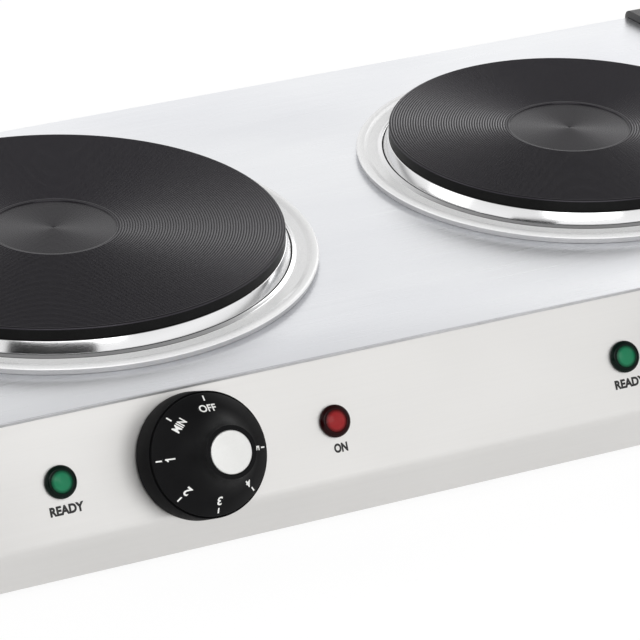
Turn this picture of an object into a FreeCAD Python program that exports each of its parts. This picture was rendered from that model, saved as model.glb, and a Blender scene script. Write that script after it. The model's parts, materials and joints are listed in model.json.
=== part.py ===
import math
import os

import FreeCAD
import Part
import Sketcher

# Double countertop hot plate: a sheet-steel housing between two moulded end handles, with two
# cast-iron plates in spill rings, each heated by its own element behind its own dial thermostat.
# Millimetres and degrees. X runs to the right, Y to the back, Z up from the table.

SIZES = [
    # Housing
    ("deck_height", 63.5, "top of the deck above the table"),
    ("front_margin", 21.6, "deck front edge to the large spill ring"),
    ("back_margin", 20.6, "deck back edge to the large spill ring"),
    ("large_margin", 7.2, "swell of the deck's left end to the large spill ring"),
    ("small_margin", 23.7, "swell of the deck's right end to the small spill ring"),
    ("ring_gap", 45.5, "large spill ring to small spill ring"),
    ("deck_bow", 8.0, "how far each short side of the deck swells at its middle"),
    ("deck_sheet", 1.2, "deck sheet thickness"),
    ("deck_overhang", 0.8, "deck edge beyond the panels under it"),
    ("opening_gap", 5.0, "deck opening beyond the plate's radius"),
    ("panel_lean", 28.0, "control panel, lean back from upright"),
    ("panel_slant", 48.2, "control panel, deck to bend along the slope"),
    ("panel_sheet", 1.2, "front and rear panel sheet thickness"),
    ("panel_flange", 12.0, "folded flange of the front and rear panels"),
    ("panel_bend", 8.0, "outer radius of the bend above the skirt"),
    ("skirt_drop", 14.9, "upright skirt below the bend"),
    ("base_sheet", 1.0, "base pan sheet thickness"),
    ("base_rim", 14.0, "upright rim at each end of the base pan"),
    ("base_play", 0.4, "base pan to the panels' inner faces"),
    ("vent_length", 46.0, "base vent slot, length"),
    ("vent_breadth", 5.0, "base vent slot, breadth"),
    ("vent_end", 2.8, "radius of the slot's rounded ends"),
    ("vent_pitch", 13.0, "base vent slots, spacing"),
    ("vent_inset", 62.0, "vent row from the line of the burners"),
    # End handles
    ("handle_reach", 22.0, "handle beyond the corner of the deck"),
    ("handle_bow", 7.0, "swell of the handle's outer face"),
    ("handle_rise", 3.6, "handle rim above the deck"),
    ("handle_proud", 3.0, "handle beyond the front and rear panels"),
    ("handle_wall", 5.0, "handle moulded wall"),
    ("handle_boss", 4.5, "screw boss in the handle's hollow, radius"),
    ("handle_round", 4.0, "rounding along the handle's long edges"),
    ("handle_rim_round", 2.0, "rounding round the handle's outer face"),
    ("seat_play", 0.2, "deck edge to the handle's rim"),
    ("grip_length", 120.0, "finger recess, length"),
    ("grip_height", 36.0, "finger recess, height above the skirt's foot"),
    ("grip_depth", 13.0, "finger recess, depth from the outer face"),
    ("grip_skin", 3.0, "wall between the finger recess and the hollow behind it"),
    # Burners
    ("large_radius", 94.0, "large plate radius"),
    ("small_radius", 77.5, "small plate radius"),
    ("plate_rise", 13.4, "plate top above the deck"),
    ("plate_edge", 1.0, "rounding of the plate's rim"),
    ("plate_side", 5.2, "height of the plate's upright rim"),
    ("plate_shoulder", 2.4, "rim beyond the plate's neck"),
    ("plate_thickness", 14.0, "plate, top to foot of its neck"),
    ("plate_skin", 8.0, "iron above the element's groove"),
    ("neck_wall", 6.0, "wall of the plate's neck"),
    ("boss_radius", 34.0, "boss at the plate's centre, underneath"),
    ("disc_radius", 26.0, "sunk disc at the plate's centre"),
    ("disc_sink", 0.6, "depth of the sunk disc"),
    ("ring_sheet", 0.8, "spill ring sheet thickness"),
    ("ring_play", 0.3, "spill ring to the plate"),
    ("ring_foot", 2.4, "foot of the ring's wall beyond the plate"),
    ("ring_flat", 8.9, "outer edge of the ring's flat beyond the plate"),
    ("ring_bead", 3.0, "rolled outer bead of the ring"),
    ("element_radius", 2.5, "heating element tube radius"),
    ("element_play", 0.2, "element to the roof of its groove"),
    ("element_gap", 15.0, "opening between the element's ends"),
    ("shield_sheet", 0.8, "heat shield sheet thickness"),
    ("shield_depth", 10.0, "heat shield below the plate's neck"),
    ("shield_inset", 0.5, "heat shield inside the plate's neck"),
    ("clamp_sheet", 2.0, "clamp bar thickness"),
    ("clamp_breadth", 25.0, "clamp bar breadth"),
    ("clamp_leg", 8.0, "clamp bar leg beyond the plate's radius"),
    ("clamp_play", 1.7, "clamp bar to the rear panel's flange"),
    ("stud_radius", 3.0, "clamp stud radius"),
    ("stud_tail", 3.0, "stud below its nut"),
    ("nut_flats", 10.0, "clamp nut across flats"),
    ("nut_height", 5.0, "clamp nut height"),
    ("hole_play", 0.1, "bolt and pin holes beyond what passes them, on the radius"),
    ("block_length", 38.0, "burner terminal block, length"),
    ("block_breadth", 20.0, "burner terminal block, breadth"),
    ("block_height", 14.0, "burner terminal block, height"),
    ("pin_radius", 1.6, "element's terminal pin, radius"),
    ("pin_inset", 2.5, "element's terminal pin from the end of its loop, as an angle"),
    ("pin_depth", 8.0, "element pin inside its terminal block"),
    # Controls
    ("control_spacing", 245.6, "dial to dial"),
    ("knob_drop", 26.5, "dial centre below the deck along the slope"),
    ("knob_radius", 24.7, "dial skirt radius at its back"),
    ("knob_taper", 0.4, "dial skirt taper on the radius"),
    ("knob_gap", 1.0, "dial above the panel"),
    ("knob_skirt", 14.4, "outer edge of the dial face above the panel"),
    ("knob_groove", 0.7, "breadth of the groove round the dial face"),
    ("knob_wall", 3.0, "dial moulded wall"),
    ("knob_height", 36.0, "dial front rim above the panel"),
    ("hub_foot", 18.5, "radius where the cone of the dial face runs into the hub"),
    ("hub_neck", 10.2, "hub radius at its front"),
    ("hub_flare", 19.8, "radius of the hub's hollow flare"),
    ("hub_lip", 2.2, "straight lip at the front of the hub"),
    ("face_slope", 3.3, "rise of the dial face from its outer edge to the hub"),
    ("boss_wall", 4.5, "wall of the dial's shaft socket"),
    ("boss_back", 3.0, "dial's shaft socket above the panel"),
    ("cap_radius", 8.8, "bright disc in the dial's front, radius"),
    ("cap_sheet", 0.8, "bright disc thickness"),
    ("cap_play", 0.1, "bright disc to its recess"),
    ("spindle_radius", 3.0, "thermostat shaft radius"),
    ("spindle_play", 0.05, "thermostat shaft to its bores"),
    ("spindle_front", 24.0, "shaft end above the panel"),
    ("spindle_flat", 1.0, "depth of the flat on the shaft"),
    ("spindle_flat_length", 14.0, "length of the flat on the shaft"),
    ("thermostat_side", 32.0, "thermostat body, side"),
    ("thermostat_depth", 24.0, "thermostat body, depth"),
    ("thermostat_plate", 1.5, "thermostat mounting plate thickness"),
    ("thermostat_plate_width", 44.0, "thermostat mounting plate, width"),
    ("thermostat_plate_height", 16.0, "thermostat mounting plate, height"),
    ("bush_radius", 5.0, "thermostat bush radius"),
    ("bush_front", 2.5, "thermostat bush above the panel"),
    ("fixing_offset", 17.0, "thermostat screws from the dial axis"),
    # Lamps
    ("lamp_drop", 25.0, "lamp centre below the deck along the slope"),
    ("ready_offset", 55.8, "ready lamp left of its dial"),
    ("on_offset", 59.7, "power lamp right of its dial"),
    ("lens_radius", 6.35, "lamp lens radius"),
    ("lens_height", 3.0, "lamp lens above the panel"),
    ("lens_round", 1.6, "rounding of the lamp lens"),
    ("lens_shank", 4.6, "lamp lens shank radius"),
    ("lens_tail", 8.0, "lamp lens shank behind the panel face"),
    ("lamp_radius", 4.2, "neon lamp radius"),
    ("lamp_length", 18.0, "neon lamp length"),
    ("clip_radius", 7.5, "lamp clip radius"),
    ("clip_sheet", 0.8, "lamp clip thickness"),
    ("clip_play", 0.05, "lamp clip to the lens shank"),
    # Feet, cord gland, wiring block and fasteners
    ("foot_radius", 11.0, "foot radius at the base pan"),
    ("foot_taper", 1.5, "foot taper on the radius"),
    ("foot_across", 380.0, "foot to foot, across"),
    ("foot_front", 6.0, "front feet behind the deck's front edge"),
    ("foot_rear", 30.0, "rear feet ahead of the deck's back edge"),
    ("foot_sink", 2.4, "screw head recess in the foot"),
    ("gland_radius", 7.0, "cord gland body radius"),
    ("gland_flange", 10.0, "cord gland flange radius"),
    ("gland_bore", 4.0, "cord gland bore radius"),
    ("gland_out", 2.5, "cord gland beyond the rear panel"),
    ("gland_in", 9.0, "cord gland inside the rear panel"),
    ("gland_rise", 19.0, "cord gland's axis above the base pan"),
    ("mains_length", 48.0, "mains terminal block, length"),
    ("mains_breadth", 20.0, "mains terminal block, breadth"),
    ("mains_height", 16.0, "mains terminal block, height"),
    ("mains_setback", 45.0, "mains terminal block ahead of the deck's back edge"),
    ("screw_radius", 1.75, "self-tapping screw radius"),
    ("screw_length", 9.0, "self-tapping screw length"),
    ("head_radius", 3.4, "screw head radius"),
    ("head_height", 2.0, "screw head height"),
    ("base_screw_pitch", 150.0, "base screws, spacing along each flange"),
    ("base_screw_inset", 8.0, "base screws from the outer face of the panels"),
    ("lead_radius", 1.5, "sleeved lead, radius"),
    ("lead_stub", 14.0, "straight stretch at each end of a lead"),
    ("lead_play", 0.9, "end of a lead to the face that it meets"),
    ("lead_spread", 9.0, "lead from the middle of the thermostat's back"),
    ("lead_lift", 1.0, "feed lead above the base pan"),
    ("handle_screw_inset", 30.0, "handle screws from the deck's front and back edges"),
]

document = FreeCAD.newDocument("hot_plate")
sheet = document.addObject("Spreadsheet::Sheet", "Sizes")
for row, (alias, amount, meaning) in enumerate(SIZES, start=1):
    sheet.set(f"A{row}", meaning)
    sheet.set(f"B{row}", str(amount))
    sheet.setAlias(f"B{row}", alias)
document.recompute()


class Size:
    """A length or angle: its number now, and the formula that ties it to the sheet."""

    def __init__(self, number, formula):
        self.number = number
        self.formula = formula

    def __add__(self, other):
        other = as_size(other)
        return Size(self.number + other.number, f"({self.formula} + {other.formula})")

    def __sub__(self, other):
        other = as_size(other)
        return Size(self.number - other.number, f"({self.formula} - {other.formula})")

    def __mul__(self, other):
        other = as_size(other)
        return Size(self.number * other.number, f"({self.formula} * {other.formula})")

    def __truediv__(self, other):
        other = as_size(other)
        return Size(self.number / other.number, f"({self.formula} / {other.formula})")

    def __neg__(self):
        return Size(-self.number, f"(0 - {self.formula})")


def as_size(value):
    if isinstance(value, Size):
        return value
    return Size(float(value), f"({float(value)})")


def size(alias):
    return Size(float(sheet.get(alias)), f"Sizes.{alias}")


def sine(angle):
    return Size(math.sin(math.radians(angle.number)), f"sin({angle.formula} * 1 deg)")


def cosine(angle):
    return Size(math.cos(math.radians(angle.number)), f"cos({angle.formula} * 1 deg)")


def tangent(angle):
    return Size(math.tan(math.radians(angle.number)), f"tan({angle.formula} * 1 deg)")


def span(across, along):
    """Length of the long side of a right-angled corner."""
    return Size(math.hypot(across.number, along.number), f"sqrt({across.formula} ^ 2 + {along.formula} ^ 2)")


def heading(across, along):
    """Angle from X of the way across and along, in degrees."""
    angle = math.degrees(math.atan2(along.number, across.number))
    return Size(angle, f"(atan2({along.formula}; {across.formula}) / 1 deg)")


# Drawing

ALONG_Z = FreeCAD.Vector(0, 0, 1)
ALONG_X = FreeCAD.Vector(1, 0, 0)
ORIGIN_POINT = (-1, 1)
SUB_PARTS = []
VENT_COUNT = 11
STRAIGHT_ENOUGH = 0.99
FACING_BACK = -90.0


def new_body(label):
    body = document.addObject("PartDesign::Body", label)
    body.Label = label
    body.AllowCompound = True
    SUB_PARTS.append(body)
    return body


def new_sketch(body, role, offset=None):
    sketch = body.newObject("Sketcher::SketchObject", body.Name + "_sketch")
    for feature in body.Origin.OriginFeatures:
        if feature.Role == role:
            sketch.AttachmentSupport = [(feature, "")]
    sketch.MapMode = "FlatFace"
    if offset is not None:
        sketch.setExpression("AttachmentOffset.Base.z", as_size(offset).formula)
    return sketch


def tie(sketch, constraint, value):
    number = sketch.addConstraint(constraint)
    if "Sizes" in value.formula:
        sketch.setExpression(f"Constraints[{number}]", value.formula)


def fix_point(sketch, geometry, position, x, y):
    for kind, value in (("DistanceX", x), ("DistanceY", y)):
        tie(sketch, Sketcher.Constraint(kind, *ORIGIN_POINT, geometry, position, value.number), value)


def draw_circle(sketch, x, y, radius):
    x, y = as_size(x), as_size(y)
    centre = FreeCAD.Vector(x.number, y.number, 0)
    index = sketch.addGeometry(Part.Circle(centre, ALONG_Z, radius.number), False)
    fix_point(sketch, index, 3, x, y)
    tie(sketch, Sketcher.Constraint("Radius", index, radius.number), radius)


def arc_between(start, end, radius, turn):
    """The lesser arc from start to end; turn is 1 for anticlockwise and -1 for clockwise."""
    chord = end - start
    half = chord.Length / 2
    side = FreeCAD.Vector(-chord.y, chord.x, 0) * (turn / chord.Length)
    centre = (start + end) * 0.5 + side * math.sqrt(max(radius * radius - half * half, 0))
    first, last = (start, end) if turn > 0 else (end, start)
    angles = [math.atan2(point.y - centre.y, point.x - centre.x) for point in (first, last)]
    return Part.ArcOfCircle(Part.Circle(centre, ALONG_Z, radius), *angles)


def draw_outline(sketch, corners, arcs=None):
    """A closed outline through corners; arcs maps a corner's number to the radius and turn after it."""
    arcs = arcs or {}
    corners = [(as_size(x), as_size(y)) for x, y in corners]
    places = [FreeCAD.Vector(x.number, y.number, 0) for x, y in corners]
    stretches = []
    for number, start in enumerate(places):
        end = places[(number + 1) % len(places)]
        if number in arcs:
            radius, turn = arcs[number]
            index = sketch.addGeometry(arc_between(start, end, radius.number, turn), False)
            stretches.append((index, 1, 2) if turn > 0 else (index, 2, 1))
        else:
            index = sketch.addGeometry(Part.LineSegment(start, end), False)
            stretches.append((index, 1, 2))
    for number, (index, start, end) in enumerate(stretches):
        next_index, next_start, _ = stretches[(number + 1) % len(stretches)]
        sketch.addConstraint(Sketcher.Constraint("Coincident", index, end, next_index, next_start))
        fix_point(sketch, index, start, *corners[number])
    for number, (radius, _) in arcs.items():
        index = stretches[number][0]
        tie(sketch, Sketcher.Constraint("Radius", index, radius.number), radius)


def draw_route(sketch, corners):
    """An open line through corners."""
    corners = [(as_size(x), as_size(y)) for x, y in corners]
    places = [FreeCAD.Vector(x.number, y.number, 0) for x, y in corners]
    runs = [sketch.addGeometry(Part.LineSegment(a, b), False) for a, b in zip(places, places[1:])]
    for run, next_run in zip(runs, runs[1:]):
        sketch.addConstraint(Sketcher.Constraint("Coincident", run, 2, next_run, 1))
    for run, corner in zip(runs, corners):
        fix_point(sketch, run, 1, *corner)
    fix_point(sketch, runs[-1], 2, *corners[-1])
    return [f"Edge{number}" for number in range(1, len(runs) + 1)]


def draw_box(sketch, left, right, low, high):
    draw_outline(sketch, [(left, low), (right, low), (right, high), (left, high)])


def pad(body, sketch, length, side_type="One side", backwards=False):
    feature = body.newObject("PartDesign::Pad", body.Name + "_pad")
    feature.Profile = sketch
    feature.SideType = side_type
    feature.Reversed = backwards
    feature.setExpression("Length", as_size(length).formula)
    return feature


def cut(body, sketch, length=None, backwards=False):
    """Cut a sketch to a depth, or right through on both sides where no depth is given."""
    feature = body.newObject("PartDesign::Pocket", body.Name + "_cut")
    feature.Profile = sketch
    feature.Reversed = backwards
    if length is None:
        feature.Type = "ThroughAll"
        feature.SideType = "Symmetric"
    else:
        feature.setExpression("Length", as_size(length).formula)
    return feature


def revolve(body, corners, arcs=None, angle=360.0):
    sketch = new_sketch(body, "XZ_Plane")
    draw_outline(sketch, corners, arcs)
    feature = body.newObject("PartDesign::Revolution", body.Name + "_turned")
    feature.Profile = sketch
    feature.ReferenceAxis = (sketch, ["V_Axis"])
    feature.setExpression("Angle", as_size(angle).formula)
    return feature


def round_edges(body, base, radius, chosen):
    document.recompute()
    names = [f"Edge{number}" for number, edge in enumerate(base.Shape.Edges, start=1) if chosen(edge)]
    feature = body.newObject("PartDesign::Fillet", body.Name + "_round")
    feature.Base = (base, names)
    feature.setExpression("Radius", radius.formula)
    return feature


def place(body, x=0.0, y=0.0, z=0.0, turn=None, axis=ALONG_X):
    if turn is not None:
        angle = as_size(turn)
        body.Placement = FreeCAD.Placement(FreeCAD.Vector(), FreeCAD.Rotation(axis, angle.number))
        body.setExpression("Placement.Rotation.Angle", angle.formula)
    for direction, value in (("x", x), ("y", y), ("z", z)):
        body.setExpression(f"Placement.Base.{direction}", as_size(value).formula)


# Shared places, worked out from the sheet

LEAN = size("panel_lean")
DECK_UNDER = size("deck_height") - size("deck_sheet")
PANEL_WALL = size("panel_sheet")

# The deck is as large as the two spill rings, the gap between them and the margins round them.
LARGE_REACH = size("large_radius") + size("ring_flat") + size("ring_bead")
SMALL_REACH = size("small_radius") + size("ring_flat") + size("ring_bead")
DECK_DEPTH = size("front_margin") + LARGE_REACH * 2 + size("back_margin")
SWELL_WIDTH = (
    size("large_margin") + LARGE_REACH * 2 + size("ring_gap") + SMALL_REACH * 2 + size("small_margin")
)
DECK_WIDTH = SWELL_WIDTH - size("deck_bow") * 2
HALF_WIDTH = DECK_WIDTH / 2
LARGE_X = size("large_margin") + LARGE_REACH - SWELL_WIDTH / 2
SMALL_X = SWELL_WIDTH / 2 - size("small_margin") - SMALL_REACH

# The front reach is the lower edge of a dial's front, and the back reach is the handles' rear.
KNOB_ADVANCE = (
    size("knob_drop") * sine(LEAN)
    + size("knob_height") * cosine(LEAN)
    + size("hub_neck") * sine(LEAN)
    - size("deck_overhang")
)
REAR_REACH = DECK_DEPTH - size("deck_overhang") + size("handle_proud")
DECK_FRONT = (KNOB_ADVANCE - REAR_REACH) / 2
DECK_BACK = DECK_FRONT + DECK_DEPTH
DECK_MIDDLE = DECK_FRONT + DECK_DEPTH / 2
BURNER_Y = DECK_FRONT + size("front_margin") + LARGE_REACH

PANEL_TOP_Y = DECK_FRONT + size("deck_overhang")
BEND_Y = PANEL_TOP_Y - size("panel_slant") * sine(LEAN)
BEND_Z = DECK_UNDER - size("panel_slant") * cosine(LEAN)
SKIRT_FOOT = BEND_Z - size("skirt_drop")
REAR_Y = DECK_BACK - size("deck_overhang")
BASE_UNDER = SKIRT_FOOT + PANEL_WALL
BASE_TOP = BASE_UNDER + size("base_sheet")
BASE_FRONT = BEND_Y + PANEL_WALL + size("base_play")
BASE_BACK = REAR_Y - PANEL_WALL - size("base_play")

PLATE_TOP = size("deck_height") + size("plate_rise")
SHIELD_FOOT = size("plate_thickness") + size("shield_depth")
CLAMP_FOOT = SHIELD_FOOT + size("clamp_sheet")
CLAMP_END = REAR_Y - size("panel_flange") - size("clamp_play") - BURNER_Y
PANEL_TURN = as_size(90) - LEAN
SCREW_HOLE = size("screw_radius") + size("hole_play")

BURNERS = (("large", size("large_radius"), LARGE_X), ("small", size("small_radius"), SMALL_X))
CONTROLS = (("left", -1), ("right", 1))
LAMPS = [
    (f"{side_name}_{lamp_name}", size("control_spacing") / 2 * side + offset)
    for side_name, side in CONTROLS
    for lamp_name, offset in (("ready", -size("ready_offset")), ("on", size("on_offset")))
]
FEET = [
    (f"{depth_name}_{side_name}", size("foot_across") / 2 * side, foot_y)
    for depth_name, foot_y in (
        ("front", DECK_FRONT + size("foot_front")),
        ("rear", DECK_BACK - size("foot_rear")),
    )
    for side_name, side in CONTROLS
]
BASE_SCREWS = [
    (size("base_screw_pitch") * step, flange_y)
    for flange_y in (BEND_Y + size("base_screw_inset"), REAR_Y - size("base_screw_inset"))
    for step in (-1, 0, 1)
]
HANDLE_SCREW_YS = (DECK_FRONT + size("handle_screw_inset"), DECK_BACK - size("handle_screw_inset"))
HANDLE_SCREW_Z = BASE_TOP + size("base_rim") / 2
GLAND_Z = BASE_TOP + size("gland_rise")
MAINS_Y = DECK_BACK - size("mains_setback")
THERMOSTAT_BACK = PANEL_WALL + size("thermostat_plate") + size("thermostat_depth")


def bow_radius(half_chord, swell):
    """Radius of an arc that swells by swell over a chord of twice half_chord."""
    return (half_chord * half_chord + swell * swell) / (swell * 2)


def panel_local(y, z):
    """A point of the YZ plane in the control panel's own frame, up the slope and out of it."""
    across, up = y - PANEL_TOP_Y, z - DECK_UNDER
    return across * sine(LEAN) + up * cosine(LEAN), up * sine(LEAN) - across * cosine(LEAN)


def panel_point(up, out):
    """Y and Z of a point given in the control panel's own frame."""
    y = PANEL_TOP_Y + up * sine(LEAN) - out * cosine(LEAN)
    return y, DECK_UNDER + up * cosine(LEAN) + out * sine(LEAN)


def place_on_panel(body, x=0.0, drop=0.0):
    """Set a body's own Z square out of the control panel, drop below the deck along the slope."""
    drop = as_size(drop)
    place(body, x, PANEL_TOP_Y - drop * sine(LEAN), DECK_UNDER - drop * cosine(LEAN), PANEL_TURN)


# Housing

def make_deck():
    body = new_body("deck_panel")
    sketch = new_sketch(body, "XY_Plane", DECK_UNDER)
    bow = bow_radius(DECK_DEPTH / 2, size("deck_bow"))
    corners = [
        (-HALF_WIDTH, DECK_FRONT), (HALF_WIDTH, DECK_FRONT),
        (HALF_WIDTH, DECK_BACK), (-HALF_WIDTH, DECK_BACK),
    ]
    draw_outline(sketch, corners, {1: (bow, 1), 3: (bow, 1)})
    for _, radius, centre_x in BURNERS:
        draw_circle(sketch, centre_x, BURNER_Y, radius + size("opening_gap"))
    pad(body, sketch, size("deck_sheet"))


def make_control_panel():
    body = new_body("control_panel")
    profile = new_sketch(body, "YZ_Plane")
    bend = size("panel_bend")
    reach = bend * tangent(LEAN / 2)
    inner_top = PANEL_TOP_Y + PANEL_WALL * (cosine(LEAN) - (as_size(1) - sine(LEAN)) * tangent(LEAN))
    slope_end = (BEND_Y + reach * sine(LEAN), BEND_Z + reach * cosine(LEAN))
    section = [
        (PANEL_TOP_Y, DECK_UNDER),
        slope_end,
        (BEND_Y, BEND_Z - reach),
        (BEND_Y, SKIRT_FOOT),
        (BEND_Y + size("panel_flange"), SKIRT_FOOT),
        (BEND_Y + size("panel_flange"), BASE_UNDER),
        (BEND_Y + PANEL_WALL, BASE_UNDER),
        (BEND_Y + PANEL_WALL, BEND_Z - reach),
        (slope_end[0] + PANEL_WALL * cosine(LEAN), slope_end[1] - PANEL_WALL * sine(LEAN)),
        (inner_top, DECK_UNDER - PANEL_WALL),
        (PANEL_TOP_Y + size("panel_flange"), DECK_UNDER - PANEL_WALL),
        (PANEL_TOP_Y + size("panel_flange"), DECK_UNDER),
    ]
    corners = [panel_local(y, z) for y, z in section]
    draw_outline(profile, corners, {1: (bend, 1), 7: (bend - PANEL_WALL, -1)})
    pad(body, profile, DECK_WIDTH, "Symmetric")
    holes = new_sketch(body, "XY_Plane")
    for _, side in CONTROLS:
        axis_x = size("control_spacing") / 2 * side
        draw_circle(holes, axis_x, -size("knob_drop"), size("bush_radius") + size("hole_play"))
        for step in (-1, 1):
            draw_circle(holes, axis_x + size("fixing_offset") * step, -size("knob_drop"), SCREW_HOLE)
    for _, x in LAMPS:
        draw_circle(holes, x, -size("lamp_drop"), size("lens_shank") + size("hole_play"))
    cut(body, holes, PANEL_WALL)
    screws = new_sketch(body, "XY_Plane")
    flange_y, flange_z = panel_local(PANEL_TOP_Y, BASE_UNDER)
    screws.AttachmentOffset = FreeCAD.Placement(
        FreeCAD.Vector(), FreeCAD.Rotation(ALONG_X, -PANEL_TURN.number)
    )
    screws.setExpression("AttachmentOffset.Rotation.Angle", (-PANEL_TURN).formula)
    screws.setExpression("AttachmentOffset.Base.y", flange_y.formula)
    screws.setExpression("AttachmentOffset.Base.z", flange_z.formula)
    for x, y in BASE_SCREWS[:3]:
        draw_circle(screws, x, y - PANEL_TOP_Y, SCREW_HOLE)
    cut(body, screws, PANEL_WALL)
    place_on_panel(body)


def make_rear_panel():
    body = new_body("rear_panel")
    profile = new_sketch(body, "YZ_Plane")
    inner = REAR_Y - PANEL_WALL
    flange_end = REAR_Y - size("panel_flange")
    draw_outline(profile, [
        (REAR_Y, SKIRT_FOOT), (REAR_Y, DECK_UNDER), (flange_end, DECK_UNDER),
        (flange_end, DECK_UNDER - PANEL_WALL), (inner, DECK_UNDER - PANEL_WALL),
        (inner, BASE_UNDER), (flange_end, BASE_UNDER), (flange_end, SKIRT_FOOT),
    ])
    pad(body, profile, DECK_WIDTH, "Symmetric")
    hole = new_sketch(body, "XZ_Plane", -REAR_Y)
    draw_circle(hole, 0, GLAND_Z, size("gland_radius") + size("hole_play"))
    cut(body, hole, PANEL_WALL, backwards=True)
    screws = new_sketch(body, "XY_Plane", BASE_UNDER)
    for x, y in BASE_SCREWS[3:]:
        draw_circle(screws, x, y, SCREW_HOLE)
    cut(body, screws, PANEL_WALL)


def make_base_pan():
    body = new_body("base_pan")
    profile = new_sketch(body, "XZ_Plane", -BASE_FRONT)
    inner = HALF_WIDTH - size("base_sheet")
    rim_top = BASE_UNDER + size("base_rim")
    draw_outline(profile, [
        (-HALF_WIDTH, BASE_UNDER), (HALF_WIDTH, BASE_UNDER), (HALF_WIDTH, rim_top), (inner, rim_top),
        (inner, BASE_TOP), (-inner, BASE_TOP), (-inner, rim_top), (-HALF_WIDTH, rim_top),
    ])
    pad(body, profile, BASE_BACK - BASE_FRONT, backwards=True)
    holes = new_sketch(body, "XY_Plane", BASE_TOP)
    for _, x, y in FEET:
        draw_circle(holes, x, y, SCREW_HOLE)
    for x, y in BASE_SCREWS:
        draw_circle(holes, x, y, SCREW_HOLE)
    cut(body, holes, size("base_sheet"))
    for _, _, centre_x in BURNERS:
        for row in (-1, 1):
            make_vents(body, centre_x, BURNER_Y + size("vent_inset") * row)
    fixings = new_sketch(body, "YZ_Plane")
    for y in HANDLE_SCREW_YS:
        draw_circle(fixings, y, HANDLE_SCREW_Z, SCREW_HOLE)
    cut(body, fixings)


def make_vents(body, middle_x, middle_y):
    """A row of round-ended slots in the base pan, side by side along X."""
    sketch = new_sketch(body, "XY_Plane", BASE_TOP)
    half_breadth = size("vent_breadth") / 2
    straight = size("vent_length") / 2 - half_breadth
    row_length = size("vent_pitch") * (VENT_COUNT - 1)
    x = middle_x - row_length / 2
    draw_outline(
        sketch,
        [
            (x + half_breadth, middle_y - straight), (x + half_breadth, middle_y + straight),
            (x - half_breadth, middle_y + straight), (x - half_breadth, middle_y - straight),
        ],
        {1: (size("vent_end"), 1), 3: (size("vent_end"), 1)},
    )
    slot = cut(body, sketch, size("base_sheet"))
    row = body.newObject("PartDesign::LinearPattern", body.Name + "_vents")
    row.Originals = [slot]
    row.Direction = (sketch, ["H_Axis"])
    row.setExpression("Length", row_length.formula)
    row.Occurrences = VENT_COUNT
    body.Tip = row


def handle_outline(proud, foot, top):
    """End view of a handle: proud of the panels by a distance, and cut off level at foot and top."""
    slope_y, front_y, rear_y = PANEL_TOP_Y - proud / cosine(LEAN), BEND_Y - proud, REAR_Y + proud
    slope_foot = DECK_UNDER - (slope_y - front_y) / tangent(LEAN)
    slope_top = slope_y + (top - DECK_UNDER) * tangent(LEAN)
    return [(front_y, foot), (rear_y, foot), (rear_y, top), (slope_top, top), (front_y, slope_foot)]


def make_handle(side_name, side):
    """A moulded end piece: it closes the housing, holds the deck's edge and takes the fingers."""
    body = new_body(f"{side_name}_handle")
    proud, reach, bow = size("handle_proud"), size("handle_reach"), size("handle_bow")
    front_y, rear_y = BEND_Y - proud, REAR_Y + proud
    profile = new_sketch(body, "YZ_Plane", HALF_WIDTH * side)
    draw_outline(profile, handle_outline(proud, SKIRT_FOOT, size("deck_height") + size("handle_rise")))
    block = pad(body, profile, reach, backwards=side < 0)
    round_edges(body, block, size("handle_round"), along_x)

    end_x, clear_x = (HALF_WIDTH + reach - bow) * side, (HALF_WIDTH + reach + bow) * side
    swell = new_sketch(body, "XY_Plane", SKIRT_FOOT)
    draw_outline(
        swell,
        [(end_x, front_y), (clear_x, front_y), (clear_x, rear_y), (end_x, rear_y)],
        {3: (bow_radius((rear_y - front_y) / 2, bow), -side)},
    )
    bowed = cut(body, swell)
    outer_limit = abs(end_x.number) - size("seat_play").number

    def round_outer_face(edge):
        middle = edge.valueAt((edge.FirstParameter + edge.LastParameter) / 2)
        return abs(middle.x) > outer_limit and not along_x(edge)

    round_edges(body, bowed, size("handle_rim_round"), round_outer_face)
    cut_deck_seat(body, side)
    cut_grip_and_hollow(body, side)
    fixings = new_sketch(body, "YZ_Plane", HALF_WIDTH * side)
    for y in HANDLE_SCREW_YS:
        draw_circle(fixings, y, HANDLE_SCREW_Z, SCREW_HOLE)
    cut(body, fixings, size("screw_length"), backwards=side > 0)


def cut_deck_seat(body, side):
    """Cut the handle's top away over the deck's swollen end, up through the rim."""
    play, half_depth = size("seat_play"), DECK_DEPTH / 2 + size("seat_play")
    seat_x = HALF_WIDTH * side
    seat = new_sketch(body, "XY_Plane", DECK_UNDER)
    draw_outline(
        seat,
        [(seat_x, DECK_FRONT - play), (seat_x, DECK_BACK + play)],
        {0: (bow_radius(half_depth, size("deck_bow") + play), side), 1: (bow_radius(half_depth, play), side)},
    )
    past_rim = size("deck_sheet") + size("handle_rise") + play
    cut(body, seat, past_rim, backwards=True)


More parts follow.
